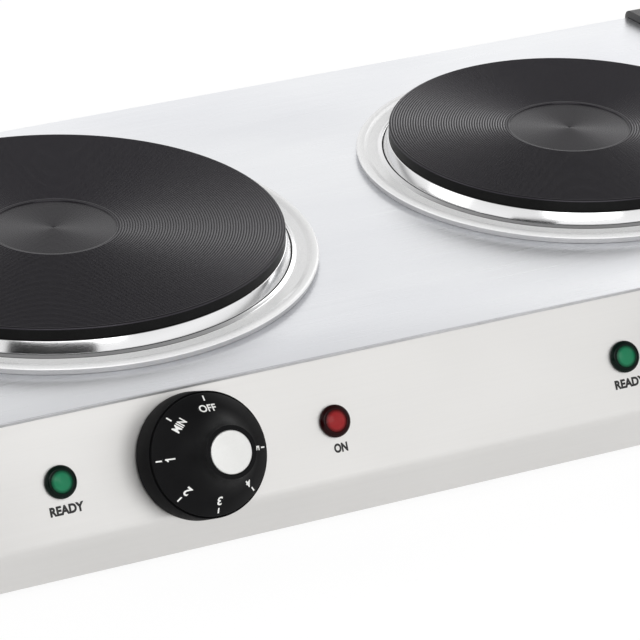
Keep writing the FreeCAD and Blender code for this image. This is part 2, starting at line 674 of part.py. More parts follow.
def cut_grip_and_hollow(body, side):
    """Cut the finger recess from outside, and the moulding's hollows from its inner face."""
    wall, reach, outward = size("handle_wall"), size("handle_reach"), side > 0
    grip_front, grip_back = DECK_MIDDLE - size("grip_length") / 2, DECK_MIDDLE + size("grip_length") / 2
    grip_top = SKIRT_FOOT + size("grip_height")
    floor_depth = reach - size("grip_depth")
    grip = new_sketch(body, "YZ_Plane", (HALF_WIDTH + floor_depth) * side)
    draw_box(grip, grip_front, grip_back, SKIRT_FOOT - wall, grip_top)
    cut(body, grip, reach, backwards=outward)

    foot, top = SKIRT_FOOT + wall, DECK_UNDER - wall
    inside = handle_outline(size("handle_proud") - wall, foot, top)
    front_end = [inside[0], (grip_front - wall, foot), (grip_front - wall, top), inside[3], inside[4]]
    back_end = [(grip_back + wall, foot), inside[1], inside[2], (grip_back + wall, top)]
    over_grip = [
        (grip_front, grip_top + wall), (grip_back, grip_top + wall), (grip_back, top), (grip_front, top),
    ]
    end_depth = reach - size("handle_bow") - wall
    hollows = (
        ([inside], floor_depth - size("grip_skin")),
        ([front_end, back_end], end_depth),
        ([over_grip], reach - wall),
    )
    for outlines, depth in hollows:
        sketch = new_sketch(body, "YZ_Plane", HALF_WIDTH * side)
        for outline in outlines:
            draw_outline(sketch, outline)
        cut(body, sketch, depth, backwards=outward)
    bosses = new_sketch(body, "YZ_Plane", HALF_WIDTH * side)
    for y in HANDLE_SCREW_YS:
        draw_circle(bosses, y, HANDLE_SCREW_Z, size("handle_boss"))
    pad(body, bosses, end_depth, backwards=not outward)


def along_x(edge):
    """True for a straight edge that runs along X."""
    ends = [vertex.Point for vertex in edge.Vertexes]
    return len(ends) == 2 and abs(ends[1].x - ends[0].x) > STRAIGHT_ENOUGH * edge.Length


# Burners

def place_burner(body, centre_x):
    place(body, centre_x, BURNER_Y, PLATE_TOP)


def make_plate(label, radius, centre_x):
    body = new_body(f"{label}_plate")
    neck = radius - size("plate_shoulder")
    groove = neck - size("neck_wall")
    bore = size("stud_radius") + size("hole_play")
    foot, roof = -size("plate_thickness"), -size("plate_skin")
    corners = [
        (0, -size("disc_sink")),
        (0, roof),
        (bore, roof),
        (bore, foot),
        (size("boss_radius"), foot),
        (size("boss_radius"), roof),
        (groove, roof),
        (groove, foot),
        (neck, foot),
        (neck, -size("plate_side")),
        (radius, -size("plate_side")),
        (radius, -size("plate_edge")),
        (radius - size("plate_edge"), 0),
        (size("disc_radius") + size("disc_sink"), 0),
        (size("disc_radius"), -size("disc_sink")),
    ]
    revolve(body, corners, {11: (size("plate_edge"), 1)})
    place_burner(body, centre_x)


def make_spill_ring(label, radius, centre_x):
    body = new_body(f"{label}_spill_ring")
    wall = size("ring_sheet")
    inner = radius - size("plate_shoulder") + size("ring_play")
    lip = radius + size("ring_play")
    shelf = radius + size("ring_foot")
    flat_end = radius + size("ring_flat")
    top, bead = -size("plate_side"), size("ring_bead")
    flat, deck = bead - size("plate_rise"), -size("plate_rise")
    corners = [
        (inner, top), (inner, top - wall), (lip - wall, top - wall), (shelf - wall, flat - wall),
        (flat_end, flat - wall), (flat_end + bead - wall, deck), (flat_end + bead, deck),
        (flat_end, flat), (shelf, flat), (lip, top),
    ]
    revolve(body, corners, {4: (bead - wall, -1), 6: (bead, 1)})
    place_burner(body, centre_x)


def element_path(radius):
    """Radius of the element's loop, midway across its groove."""
    return (size("boss_radius") + radius - size("plate_shoulder") - size("neck_wall")) / 2


def element_pins(radius):
    """Centres of the two terminal pins, each a little way into the loop from its end."""
    loop, inset = element_path(radius), size("pin_inset")
    angles = (-inset, size("element_gap") + inset)
    return [(loop * cosine(angle), loop * sine(angle)) for angle in angles]


def make_element(label, radius, centre_x):
    body = new_body(f"{label}_element")
    tube, loop = size("element_radius"), element_path(radius)
    level = -(size("plate_skin") + size("element_play") + tube)
    section = new_sketch(body, "XZ_Plane")
    draw_circle(section, loop, level, tube)
    turned = body.newObject("PartDesign::Revolution", body.Name + "_loop")
    turned.Profile = section
    turned.ReferenceAxis = (section, ["V_Axis"])
    turned.setExpression("Angle", (as_size(360) - size("element_gap")).formula)
    turned.Reversed = True
    pins = new_sketch(body, "XY_Plane", level)
    for x, y in element_pins(radius):
        draw_circle(pins, x, y, size("pin_radius"))
    pad(body, pins, SHIELD_FOOT + level + size("pin_depth"), backwards=True)
    place_burner(body, centre_x)


def make_heat_shield(label, radius, centre_x):
    body = new_body(f"{label}_heat_shield")
    wall = size("shield_sheet")
    rim = radius - size("plate_shoulder") - size("shield_inset")
    bore = size("stud_radius") + size("hole_play")
    top, floor = -size("plate_thickness"), -SHIELD_FOOT
    revolve(body, [
        (bore, floor), (rim, floor), (rim, top),
        (rim - wall, top), (rim - wall, floor + wall), (bore, floor + wall),
    ])
    holes = new_sketch(body, "XY_Plane", floor)
    for x, y in element_pins(radius):
        draw_circle(holes, x, y, size("pin_radius") + size("hole_play"))
    cut(body, holes, wall, backwards=True)
    place_burner(body, centre_x)


def make_clamp_bar(label, radius, centre_x):
    body = new_body(f"{label}_clamp_bar")
    wall = size("clamp_sheet")
    leg, end = radius + size("clamp_leg"), CLAMP_END
    under, middle = -(size("plate_rise") + size("deck_sheet")), -SHIELD_FOOT
    half = [(end, under - wall), (end, under), (leg, under), (leg, middle)]
    far = [(-y, z) for y, z in reversed(half)]
    below = [(-(leg + wall), under - wall), (-(leg + wall), middle - wall),
             (leg + wall, middle - wall), (leg + wall, under - wall)]
    profile = new_sketch(body, "YZ_Plane")
    draw_outline(profile, half + far + below)
    pad(body, profile, size("clamp_breadth"), "Symmetric")
    hole = new_sketch(body, "XY_Plane", middle)
    draw_circle(hole, 0, 0, size("stud_radius") + size("hole_play"))
    cut(body, hole, wall)
    place_burner(body, centre_x)


def make_clamp_stud(label, centre_x):
    body = new_body(f"{label}_clamp_stud")
    sketch = new_sketch(body, "XY_Plane", -size("plate_skin"))
    draw_circle(sketch, 0, 0, size("stud_radius"))
    length = CLAMP_FOOT + size("nut_height") + size("stud_tail") - size("plate_skin")
    pad(body, sketch, length, backwards=True)
    place_burner(body, centre_x)


def make_clamp_nut(label, centre_x):
    body = new_body(f"{label}_clamp_nut")
    sketch = new_sketch(body, "XY_Plane", -CLAMP_FOOT)
    half_corner = as_size(30)
    point = size("nut_flats") / 2 / cosine(half_corner)
    turns = [half_corner * (2 * corner) for corner in range(6)]
    draw_outline(sketch, [(point * cosine(turn), point * sine(turn)) for turn in turns])
    draw_circle(sketch, 0, 0, size("stud_radius") + size("hole_play"))
    pad(body, sketch, size("nut_height"), backwards=True)
    place_burner(body, centre_x)


def make_terminal_block(label, radius, centre_x):
    """Ceramic block under the heat shield, on the element's two pins."""
    body = new_body(f"{label}_terminal_block")
    pins = element_pins(radius)
    middle_x, middle_y = (pins[0][0] + pins[1][0]) / 2, (pins[0][1] + pins[1][1]) / 2
    half_length, half_breadth = size("block_length") / 2, size("block_breadth") / 2
    sketch = new_sketch(body, "XY_Plane", -SHIELD_FOOT)
    draw_box(sketch, middle_x - half_breadth, middle_x + half_breadth,
             middle_y - half_length, middle_y + half_length)
    pad(body, sketch, size("block_height"), backwards=True)
    bores = new_sketch(body, "XY_Plane", -SHIELD_FOOT)
    for x, y in pins:
        draw_circle(bores, x, y, size("pin_radius") + size("hole_play"))
    cut(body, bores, size("pin_depth"))
    place_burner(body, centre_x)


# Controls

def control_x(side):
    return size("control_spacing") / 2 * side


def make_knob(side_name, side):
    body = new_body(f"{side_name}_knob")
    back, rear_radius = size("knob_gap"), size("knob_radius")
    face, front_radius = size("knob_skirt"), size("knob_radius") - size("knob_taper")
    groove, half_groove, wall = size("knob_groove"), size("knob_groove") / 2, size("knob_wall")
    bore = size("spindle_radius") + size("spindle_play")
    boss = bore + size("boss_wall")
    roof, front = face - wall, size("knob_height")
    recess = size("cap_radius") + size("cap_play")
    flare_foot = face + size("face_slope")
    corners = [
        (bore, size("boss_back")),
        (boss, size("boss_back")),
        (boss, roof),
        (front_radius - wall, roof),
        (rear_radius - wall, back),
        (rear_radius, back),
        (front_radius, face - groove),
        (front_radius - half_groove, face - half_groove),
        (front_radius - groove, face - groove),
        (front_radius - groove - half_groove, face),
        (size("hub_foot"), flare_foot),
        (size("hub_neck"), front - size("hub_lip")),
        (size("hub_neck"), front),
        (recess, front),
        (recess, front - size("cap_sheet")),
        (0, front - size("cap_sheet")),
        (0, size("spindle_front")),
        (bore, size("spindle_front")),
    ]
    revolve(body, corners, {10: (size("hub_flare"), -1)})
    place_on_panel(body, control_x(side), size("knob_drop"))


def make_knob_cap(side_name, side):
    body = new_body(f"{side_name}_knob_cap")
    sketch = new_sketch(body, "XY_Plane", size("knob_height") - size("cap_sheet"))
    draw_circle(sketch, 0, 0, size("cap_radius"))
    pad(body, sketch, size("cap_sheet"))
    place_on_panel(body, control_x(side), size("knob_drop"))


def spindle_tail():
    """Inner end of the shaft, half way into the thermostat's body."""
    return -(PANEL_WALL + size("thermostat_plate") + size("thermostat_depth") / 2)


def make_spindle(side_name, side):
    body = new_body(f"{side_name}_spindle")
    sketch = new_sketch(body, "XY_Plane", spindle_tail())
    draw_circle(sketch, 0, 0, size("spindle_radius"))
    pad(body, sketch, size("spindle_front") - spindle_tail())
    flat = new_sketch(body, "XY_Plane", size("spindle_front"))
    reach = size("spindle_radius") * 2
    draw_box(flat, -reach, reach, size("spindle_radius") - size("spindle_flat"), reach)
    cut(body, flat, size("spindle_flat_length"))
    place_on_panel(body, control_x(side), size("knob_drop"))


def make_thermostat(side_name, side):
    body = new_body(f"{side_name}_thermostat")
    half_side, half_width = size("thermostat_side") / 2, size("thermostat_plate_width") / 2
    half_height = size("thermostat_plate_height") / 2
    plate = new_sketch(body, "XY_Plane", -PANEL_WALL)
    draw_box(plate, -half_width, half_width, -half_height, half_height)
    pad(body, plate, size("thermostat_plate"), backwards=True)
    case = new_sketch(body, "XY_Plane", -(PANEL_WALL + size("thermostat_plate")))
    draw_box(case, -half_side, half_side, -half_side, half_side)
    pad(body, case, size("thermostat_depth"), backwards=True)
    bush = new_sketch(body, "XY_Plane", -PANEL_WALL)
    draw_circle(bush, 0, 0, size("bush_radius"))
    pad(body, bush, PANEL_WALL + size("bush_front"))
    bore = new_sketch(body, "XY_Plane", size("bush_front"))
    draw_circle(bore, 0, 0, size("spindle_radius") + size("spindle_play"))
    cut(body, bore, size("bush_front") - spindle_tail() + size("hole_play"))
    fixings = new_sketch(body, "XY_Plane", -PANEL_WALL)
    for step in (-1, 1):
        draw_circle(fixings, size("fixing_offset") * step, 0, SCREW_HOLE)
    cut(body, fixings, size("screw_length"))
    place_on_panel(body, control_x(side), size("knob_drop"))


def make_thermostat_screws():
    body = new_body("thermostat_screws")
    heads = new_sketch(body, "XY_Plane")
    shanks = new_sketch(body, "XY_Plane")
    for _, side in CONTROLS:
        for step in (-1, 1):
            x = control_x(side) + size("fixing_offset") * step
            draw_circle(heads, x, -size("knob_drop"), size("head_radius"))
            draw_circle(shanks, x, -size("knob_drop"), size("screw_radius"))
    pad(body, heads, size("head_height"))
    pad(body, shanks, size("screw_length"), backwards=True)
    place_on_panel(body)


# Lamps

def make_lens(label, x):
    body = new_body(f"{label}_lens")
    rim, top, edge = size("lens_radius"), size("lens_height"), size("lens_round")
    revolve(
        body,
        [
            (0, -size("lens_tail")), (size("lens_shank"), -size("lens_tail")), (size("lens_shank"), 0),
            (rim, 0), (rim, top - edge), (rim - edge, top), (0, top),
        ],
        {4: (edge, 1)},
    )
    place_on_panel(body, x, size("lamp_drop"))


def make_lamp(label, x):
    body = new_body(f"{label}_lamp")
    sketch = new_sketch(body, "XY_Plane", -size("lens_tail"))
    draw_circle(sketch, 0, 0, size("lamp_radius"))
    pad(body, sketch, size("lamp_length"), backwards=True)
    place_on_panel(body, x, size("lamp_drop"))


def make_lamp_clips():
    body = new_body("lamp_clips")
    sketch = new_sketch(body, "XY_Plane", -PANEL_WALL)
    for _, x in LAMPS:
        draw_circle(sketch, x, -size("lamp_drop"), size("clip_radius"))
        draw_circle(sketch, x, -size("lamp_drop"), size("lens_shank") + size("clip_play"))
    pad(body, sketch, size("clip_sheet"), backwards=True)
    place_on_panel(body)


# Feet, cord gland, wiring block and fasteners

def make_foot(label, x, y):
    body = new_body(f"{label}_foot")
    top, tread = size("foot_radius"), size("foot_radius") - size("foot_taper")
    bore, recess, sink = SCREW_HOLE, size("head_radius") + size("hole_play"), size("foot_sink")
    revolve(body, [
        (bore, sink), (recess, sink), (recess, 0), (tread, 0), (top, BASE_UNDER), (bore, BASE_UNDER),
    ])
    place(body, x, y)


def make_screws(label, spots, head_level, upward):
    """Upright screws in one group: a head above or below head_level and a shank on its other side."""
    body = new_body(label)
    heads = new_sketch(body, "XY_Plane", head_level)
    shanks = new_sketch(body, "XY_Plane", head_level)
    for x, y in spots:
        draw_circle(heads, x, y, size("head_radius"))
        draw_circle(shanks, x, y, size("screw_radius"))
    pad(body, heads, size("head_height"), backwards=upward)
    pad(body, shanks, size("screw_length"), backwards=not upward)


def make_handle_screws():
    body = new_body("handle_screws")
    for side in (-1, 1):
        seat = (HALF_WIDTH - size("base_sheet")) * side
        heads = new_sketch(body, "YZ_Plane", seat)
        shanks = new_sketch(body, "YZ_Plane", seat)
        for y in HANDLE_SCREW_YS:
            draw_circle(heads, y, HANDLE_SCREW_Z, size("head_radius"))
            draw_circle(shanks, y, HANDLE_SCREW_Z, size("screw_radius"))
        pad(body, heads, size("head_height"), backwards=side > 0)
        pad(body, shanks, size("screw_length"), backwards=side < 0)


def make_cord_gland():
    body = new_body("cord_gland")
    flange, barrel, bore = size("gland_flange"), size("gland_radius"), size("gland_bore")
    out, inside = size("gland_out"), -(PANEL_WALL + size("gland_in"))
    revolve(body, [
        (bore, inside), (barrel, inside), (barrel, 0), (flange, 0), (flange - out / 2, out), (bore, out),
    ])
    place(body, 0.0, REAR_Y, GLAND_Z, FACING_BACK)


def make_mains_block():
    body = new_body("mains_terminal_block")
    sketch = new_sketch(body, "XY_Plane", BASE_TOP)
    half_length, half_breadth = size("mains_length") / 2, size("mains_breadth") / 2
    draw_box(sketch, -half_length, half_length, MAINS_Y - half_breadth, MAINS_Y + half_breadth)
    pad(body, sketch, size("mains_height"))


def make_lead(label, start, end, low_run=None):
    """A sleeved lead in the upright plane through its ends; low_run is its height on the base pan."""
    body = new_body(label)
    across, along, rise = end[0] - start[0], end[1] - start[1], end[2] - start[2]
    length, stub = span(across, along), size("lead_stub")
    if low_run is None:
        corners = [(0, 0), (stub, 0), (length - stub, rise), (length, rise)]
    else:
        drop = low_run - start[2]
        corners = [
            (0, 0), (stub, 0), (stub * 2, drop),
            (length - stub * 2, drop), (length - stub, rise), (length, rise),
        ]
    section = new_sketch(body, "YZ_Plane")
    draw_circle(section, 0, 0, size("lead_radius"))
    route = new_sketch(body, "XZ_Plane")
    runs = draw_route(route, corners)
    lead = body.newObject("PartDesign::AdditivePipe", body.Name + "_run")
    lead.Profile = section
    lead.Spine = (route, runs)
    lead.Transition = "Round corner"
    place(body, *start, heading(across, along), ALONG_Z)


def make_leads():
    """From the mains block to each thermostat, and from each thermostat to its burner."""
    back_y, back_z = panel_point(-size("knob_drop"), -THERMOSTAT_BACK)
    clear_y = back_y + size("lead_play") + size("lead_radius")
    mains_face = MAINS_Y - size("mains_breadth") / 2 - size("lead_play")
    mains_z = BASE_TOP + size("mains_height") / 2
    low_run = BASE_TOP + size("lead_lift") + size("lead_radius")
    block_z = PLATE_TOP - SHIELD_FOOT - size("block_height") / 2
    for (side_name, side), (burner, radius, centre_x) in zip(CONTROLS, BURNERS):
        spread = size("lead_spread") * side
        mains_end = (size("mains_length") / 4 * side, mains_face, mains_z)
        make_lead(f"{side_name}_feed_lead", (control_x(side) - spread, clear_y, back_z), mains_end, low_run)
        pins = element_pins(radius)
        block_x = centre_x + (pins[0][0] + pins[1][0]) / 2
        block_y = BURNER_Y + (pins[0][1] + pins[1][1]) / 2 - size("block_length") / 2 - size("lead_play")
        make_lead(f"{burner}_lead", (control_x(side) + spread, clear_y, back_z), (block_x, block_y, block_z))


def write_steps():
    document.recompute()
    for item in document.Objects:
        faults = [state for state in item.State if state in ("Invalid", "Error")]
        if faults:
            raise RuntimeError(f"{item.Name} failed: {faults}")
    for body in SUB_PARTS:
        if body.Shape.isNull() or not body.Shape.isValid() or not body.Shape.Solids:
            raise RuntimeError(f"{body.Label} has no valid solid")
    os.makedirs("parts", exist_ok=True)
    for body in SUB_PARTS:
        body.Shape.exportStep(f"parts/{body.Label}.step")


make_deck()
make_control_panel()
make_rear_panel()
make_base_pan()
for control_name, control_side in CONTROLS:
    make_handle(control_name, control_side)
for burner_name, burner_radius, burner_x in BURNERS:
    make_plate(burner_name, burner_radius, burner_x)
    make_spill_ring(burner_name, burner_radius, burner_x)
    make_element(burner_name, burner_radius, burner_x)
    make_heat_shield(burner_name, burner_radius, burner_x)
    make_clamp_bar(burner_name, burner_radius, burner_x)
    make_clamp_stud(burner_name, burner_x)
    make_clamp_nut(burner_name, burner_x)
    make_terminal_block(burner_name, burner_radius, burner_x)
for control_name, control_side in CONTROLS:
    make_knob(control_name, control_side)
    make_knob_cap(control_name, control_side)
    make_spindle(control_name, control_side)
    make_thermostat(control_name, control_side)
make_thermostat_screws()
for lamp_name, lamp_x in LAMPS:
    make_lens(lamp_name, lamp_x)
    make_lamp(lamp_name, lamp_x)
make_lamp_clips()
for foot_name, foot_x, foot_y in FEET:
    make_foot(foot_name, foot_x, foot_y)
make_screws("foot_screws", [(x, y) for _, x, y in FEET], size("foot_sink"), True)
make_screws("base_screws", BASE_SCREWS, SKIRT_FOOT, True)
make_handle_screws()
make_cord_gland()
make_mains_block()
make_leads()
write_steps()
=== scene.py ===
import json
import math

import bmesh
import bpy
from mathutils import Matrix, Vector


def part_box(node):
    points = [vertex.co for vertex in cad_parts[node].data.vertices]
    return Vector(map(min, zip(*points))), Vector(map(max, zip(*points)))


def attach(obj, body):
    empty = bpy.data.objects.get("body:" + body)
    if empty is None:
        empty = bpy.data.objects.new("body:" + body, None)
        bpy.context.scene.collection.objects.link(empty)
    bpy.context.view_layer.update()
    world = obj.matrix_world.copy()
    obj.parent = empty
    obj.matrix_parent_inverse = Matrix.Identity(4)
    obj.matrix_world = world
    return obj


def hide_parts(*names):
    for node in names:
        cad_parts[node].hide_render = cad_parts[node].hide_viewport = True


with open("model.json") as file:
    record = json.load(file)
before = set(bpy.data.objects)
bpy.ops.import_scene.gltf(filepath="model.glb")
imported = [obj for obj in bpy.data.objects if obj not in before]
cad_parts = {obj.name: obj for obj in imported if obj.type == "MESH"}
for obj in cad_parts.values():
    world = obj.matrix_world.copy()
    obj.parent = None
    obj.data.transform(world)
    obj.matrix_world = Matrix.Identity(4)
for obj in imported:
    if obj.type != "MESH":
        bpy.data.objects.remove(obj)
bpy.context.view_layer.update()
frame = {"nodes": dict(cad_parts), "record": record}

# A double countertop hot plate: turned iron plates in polished spill rings on a brushed deck, with
# dials and signal lamps on a leaning front. Sizes in this script are millimetres unless named otherwise.

MM = 0.001
NODES = frame["nodes"]
HOUSING = "housing"


# Meshes

def store_turn_map(bm):
    """UV map for a turned piece about its own Z axis: radius in decimetres, and turns."""
    layer = bm.loops.layers.uv.new("turn")
    for face in bm.faces:
        middle = face.calc_center_median()
        for loop in face.loops:
            spot = loop.vert.co
            angle = math.atan2(spot.y, spot.x)
            if spot.xy.length < 1e-6:
                angle = math.atan2(middle.y, middle.x)
            if middle.x < 0 and abs(angle - math.atan2(middle.y, middle.x)) > math.pi:
                angle += math.tau if angle < 0 else -math.tau
            loop[layer].uv = (spot.xy.length * 10.0, angle / math.tau)


def turned(profile, steps, closed=False):
    """Spin a profile of (radius, height) points about Z."""
    bm = bmesh.new()
    verts = [bm.verts.new((radius * MM, 0.0, height * MM)) for radius, height in profile]
    pairs = list(zip(verts, verts[1:]))
    if closed:
        pairs.append((verts[-1], verts[0]))
    edges = [bm.edges.new(pair) for pair in pairs]
    bmesh.ops.spin(
        bm, geom=verts + edges, axis=(0, 0, 1), cent=(0, 0, 0), steps=steps, angle=math.tau, use_merge=True,
    )
    bmesh.ops.remove_doubles(bm, verts=bm.verts[:], dist=1e-7)
    bmesh.ops.dissolve_degenerate(bm, edges=bm.edges[:], dist=1e-8)
    bmesh.ops.recalc_face_normals(bm, faces=bm.faces[:])
    store_turn_map(bm)
    return bm


def arc(centre, radius, first, last, count):
    """Points on an arc about centre, with its angles in degrees."""
    angles = [math.radians(first + (last - first) * step / count) for step in range(count + 1)]
    return [(centre[0] + radius * math.cos(a), centre[1] + radius * math.sin(a)) for a in angles]


def rounded(corners, radius, count=3):
    """A profile's inner corners each replaced by a small curve."""
    points = [corners[0]]
    for before, corner, after in zip(corners, corners[1:], corners[2:]):
        middle = Vector(corner)
        back, ahead = Vector(before) - middle, Vector(after) - middle
        reach = min(radius, back.length * 0.45, ahead.length * 0.45)
        start, end = middle + back.normalized() * reach, middle + ahead.normalized() * reach
        for step in range(count + 1):
            t = step / count
            points.append(tuple(start * (1 - t) ** 2 + middle * 2 * t * (1 - t) + end * t ** 2))
    points.append(corners[-1])
    return points


def make_piece(name, bm, materials, body, nodes=(), sharp=35.0, where=None):
    """Turn a bmesh into a finished object that rides on a body and stands for CAD nodes."""
    if where is not None:
        bm.transform(where)
    mesh = bpy.data.meshes.new(name)
    bm.to_mesh(mesh)
    bm.free()
    mesh.polygons.foreach_set("use_smooth", [True] * len(mesh.polygons))
    mesh.set_sharp_from_angle(angle=math.radians(sharp))
    for material in materials:
        mesh.materials.append(material)
    piece = bpy.data.objects.new(name, mesh)
    bpy.context.scene.collection.objects.link(piece)
    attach(piece, body)
    if nodes:
        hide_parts(*nodes)
    return piece


def paint_faces(bm, chosen, index):
    """Give the faces that a test picks another of the piece's materials."""
    for face in bm.faces:
        if chosen(face.calc_center_median()):
            face.material_index = index


# Materials

WHITE = (1.0, 1.0, 1.0, 1.0)
IRON_SHEEN = (0.96, 0.92, 1.0, 1.0)
DISC_RADIUS = 26.0
GROOVE_START = DISC_RADIUS + 1.1
GROOVE_PITCH = 1.097
FLOOR_ROUGHNESS, CREST_ROUGHNESS = 0.65, 0.17
FROST_FROM, FROST_TO = 3.0, 4.6
COLOUR, NUMBER, DIRECTION = "NodeSocketColor", "NodeSocketFloat", "NodeSocketVector"


class Nodes:
    """A tree of shader nodes, with short ways to add to it."""

    def __init__(self, tree):
        self.tree = tree

    def node(self, kind, links=None, **values):
        """Add a node; links maps its inputs to outputs or numbers, and values sets its properties."""
        made = self.tree.nodes.new(kind)
        for key, value in values.items():
            setattr(made, key, value)
        for socket, source in (links or {}).items():
            if isinstance(source, bpy.types.NodeSocket):
                self.tree.links.new(source, made.inputs[socket])
            else:
                made.inputs[socket].default_value = source
        return made

    def maths(self, operation, *terms):
        """One step of arithmetic on outputs or numbers."""
        return self.node("ShaderNodeMath", dict(enumerate(terms)), operation=operation).outputs[0]

    def spots(self, scale, stretch=(1, 1, 1), detail=3.0):
        """Noise on the object's own coordinates."""
        place = self.node("ShaderNodeTexCoord").outputs["Object"]
        spread = self.node("ShaderNodeMapping", {"Vector": place, "Scale": stretch}).outputs["Vector"]
        noise = self.node("ShaderNodeTexNoise", {"Vector": spread, "Scale": scale, "Detail": detail})
        return noise.outputs["Fac"]

    def radius(self):
        """Distance from a turned piece's axis in decimetres, from its UV map."""
        turn = self.node("ShaderNodeUVMap", uv_map="turn").outputs["UV"]
        return self.node("ShaderNodeSeparateXYZ", {"Vector": turn}).outputs["X"]

    def between(self, amount, low, high, from_low=0.3, from_high=0.7):
        """Map an amount to a range of values."""
        return self.node("ShaderNodeMapRange", {
            "Value": amount, "From Min": from_low, "From Max": from_high, "To Min": low, "To Max": high,
        }).outputs["Result"]

    def blend(self, share, first, second):
        """A colour between two; share is that of the second."""
        return self.node("ShaderNodeMix", {0: share, 6: first, 7: second}, data_type="RGBA").outputs[2]

    def relief(self, height, depth):
        """Normals of a relief with a depth in metres."""
        bump = self.node("ShaderNodeBump", {"Height": height, "Distance": depth, "Strength": 1.0})
        return bump.outputs["Normal"]


class Effect(Nodes):
    """A surface effect that materials share: a node group with named inputs and outputs."""

    def __init__(self, name, inputs, outputs):
        super().__init__(bpy.data.node_groups.new(name, "ShaderNodeTree"))
        for way, sockets in (("INPUT", inputs), ("OUTPUT", outputs)):
            for socket, kind in sockets.items():
                self.tree.interface.new_socket(socket, in_out=way, socket_type=kind)
        self.given = self.node("NodeGroupInput").outputs
        self.results = self.node("NodeGroupOutput").inputs

    def put_out(self, socket, source):
        self.tree.links.new(source, self.results[socket])


class Shader(Nodes):
    """A material's nodes, with a Principled shader to link to."""

    def __init__(self, name, colour, roughness, metallic=0.0, specular=0.5):
        self.material = bpy.data.materials.new(name)
        self.material.use_nodes = True
        super().__init__(self.material.node_tree)
        self.surface = self.tree.nodes["Principled BSDF"]
        self.set("Base Color", (*colour, 1.0))
        self.set("Roughness", roughness)
        self.set("Metallic", metallic)
        self.set("Specular IOR Level", specular)

    def set(self, socket, value):
        self.surface.inputs[socket].default_value = value

    def link(self, source, socket):
        self.tree.links.new(source, self.surface.inputs[socket])

    def place(self, effect, values):
        """Put a shared effect in the material with values of its own; returns its outputs."""
        return self.node("ShaderNodeGroup", values, node_tree=effect.tree).outputs

    def wear(self, effect, values):
        """Place a shared effect, and link all that it puts out to the sockets of the same names."""
        for source in self.place(effect, values):
            self.link(source, source.name)


def grain_effect(name, clouds, stretch, detail, smoother, rougher):
    """A cloudy colour, and one grain for roughness and relief that a stretch turns into strokes."""
    effect = Effect(
        name,
        {"Dark": COLOUR, "Light": COLOUR, "Roughness": NUMBER, "Grain": NUMBER, "Depth": NUMBER},
        {"Base Color": COLOUR, "Roughness": NUMBER, "Normal": DIRECTION},
    )
    given = effect.given
    grains = effect.spots(given["Grain"], stretch, detail)
    low = effect.maths("SUBTRACT", given["Roughness"], smoother)
    high = effect.maths("ADD", given["Roughness"], rougher)
    share = effect.between(effect.spots(**clouds), 0.0, 1.0)
    effect.put_out("Base Color", effect.blend(share, given["Dark"], given["Light"]))
    effect.put_out("Roughness", effect.between(grains, low, high))
    effect.put_out("Normal", effect.relief(grains, given["Depth"]))
    return effect


def ring_effect():
    """Fine rings about a turned piece's axis, Pitch apart with one at Crest, both in millimetres."""
    effect = Effect("turned_rings", {"Pitch": NUMBER, "Crest": NUMBER}, {"Rings": NUMBER})
    reach = effect.maths("MULTIPLY", effect.radius(), 100.0)
    beyond = effect.maths("SUBTRACT", reach, effect.given["Crest"])
    turns = effect.maths("DIVIDE", beyond, effect.given["Pitch"])
    effect.put_out("Rings", effect.maths("COSINE", effect.maths("MULTIPLY", turns, math.tau)))
    return effect


def lens_effect():
    """Pale over the middle of a lens, and deep towards its rim."""
    effect = Effect("lens_tint", {"Pale": COLOUR, "Deep": COLOUR}, {"Base Color": COLOUR})
    share = effect.between(effect.radius(), 0.0, 1.0, FROST_FROM / 100.0, FROST_TO / 100.0)
    effect.put_out("Base Color", effect.blend(share, effect.given["Pale"], effect.given["Deep"]))
    return effect


FINE_GRAIN = grain_effect(
    "fine_grain", clouds={"scale": 60.0}, stretch=(1, 1, 1), detail=3.0, smoother=0.05, rougher=0.07,
)
BRUSHING = grain_effect(
    "straight_brushing", clouds={"scale": 9.0, "stretch": (1.0, 2.2, 1.0), "detail": 2.0},
    stretch=(12.0, 3200.0, 900.0), detail=4.0, smoother=0.04, rougher=0.06,
)
TURNED_RINGS = ring_effect()
LENS_TINT = lens_effect()


def textured(name, effect, dark, light, roughness, grain, depth, metallic=0.0, specular=0.5):
    """A surface that wears a grain; its depth in millimetres."""
    shader = Shader(name, light, roughness, metallic, specular)
    shader.wear(effect, {
        "Dark": (*dark, 1.0), "Light": (*light, 1.0), "Roughness": roughness, "Grain": grain,
        "Depth": depth * MM,
    })
    return shader.material


def brushed_steel(name, dark, light, roughness, depth):
    """Sheet with straight brushing along X and a faint cloudiness."""
    return textured(name, BRUSHING, dark, light, roughness, 1.0, depth, metallic=1.0)


def grained(name, dark, light, roughness, grain, depth, **finish):
    """A moulded, cast or plated surface with an even fine grain."""
    return textured(name, FINE_GRAIN, dark, light, roughness, grain, depth, **finish)


def polished(name, colour, roughness):
    """Bright plating, a little cloudy from wiping."""
    shader = Shader(name, colour, roughness, metallic=1.0)
    shader.link(shader.between(shader.spots(40.0), roughness - 0.02, roughness + 0.03), "Roughness")
    return shader.material


def grooved_iron(name, floor, crest, specular, grain, depth):
    """Cast iron with turned grooves, its own colour on their crests, dull and darkened as painted shade on
    their floors.
    """
    shader = Shader(name, crest, CREST_ROUGHNESS, specular=specular)
    shader.set("Specular Tint", IRON_SHEEN)
    rings = shader.place(TURNED_RINGS, {"Pitch": GROOVE_PITCH, "Crest": GROOVE_START})["Rings"]
    # painted shade: the colour darkens from each groove's crest to its floor
    share = shader.between(rings, 0.0, 1.0, -1.0, 1.0)
    shader.link(shader.blend(share, (*floor, 1.0), (*crest, 1.0)), "Base Color")
    shader.link(shader.between(rings, FLOOR_ROUGHNESS, CREST_ROUGHNESS, -1.0, 1.0), "Roughness")
    shader.link(shader.place(FINE_GRAIN, {"Grain": grain, "Depth": depth * MM})["Normal"], "Normal")
    return shader.material


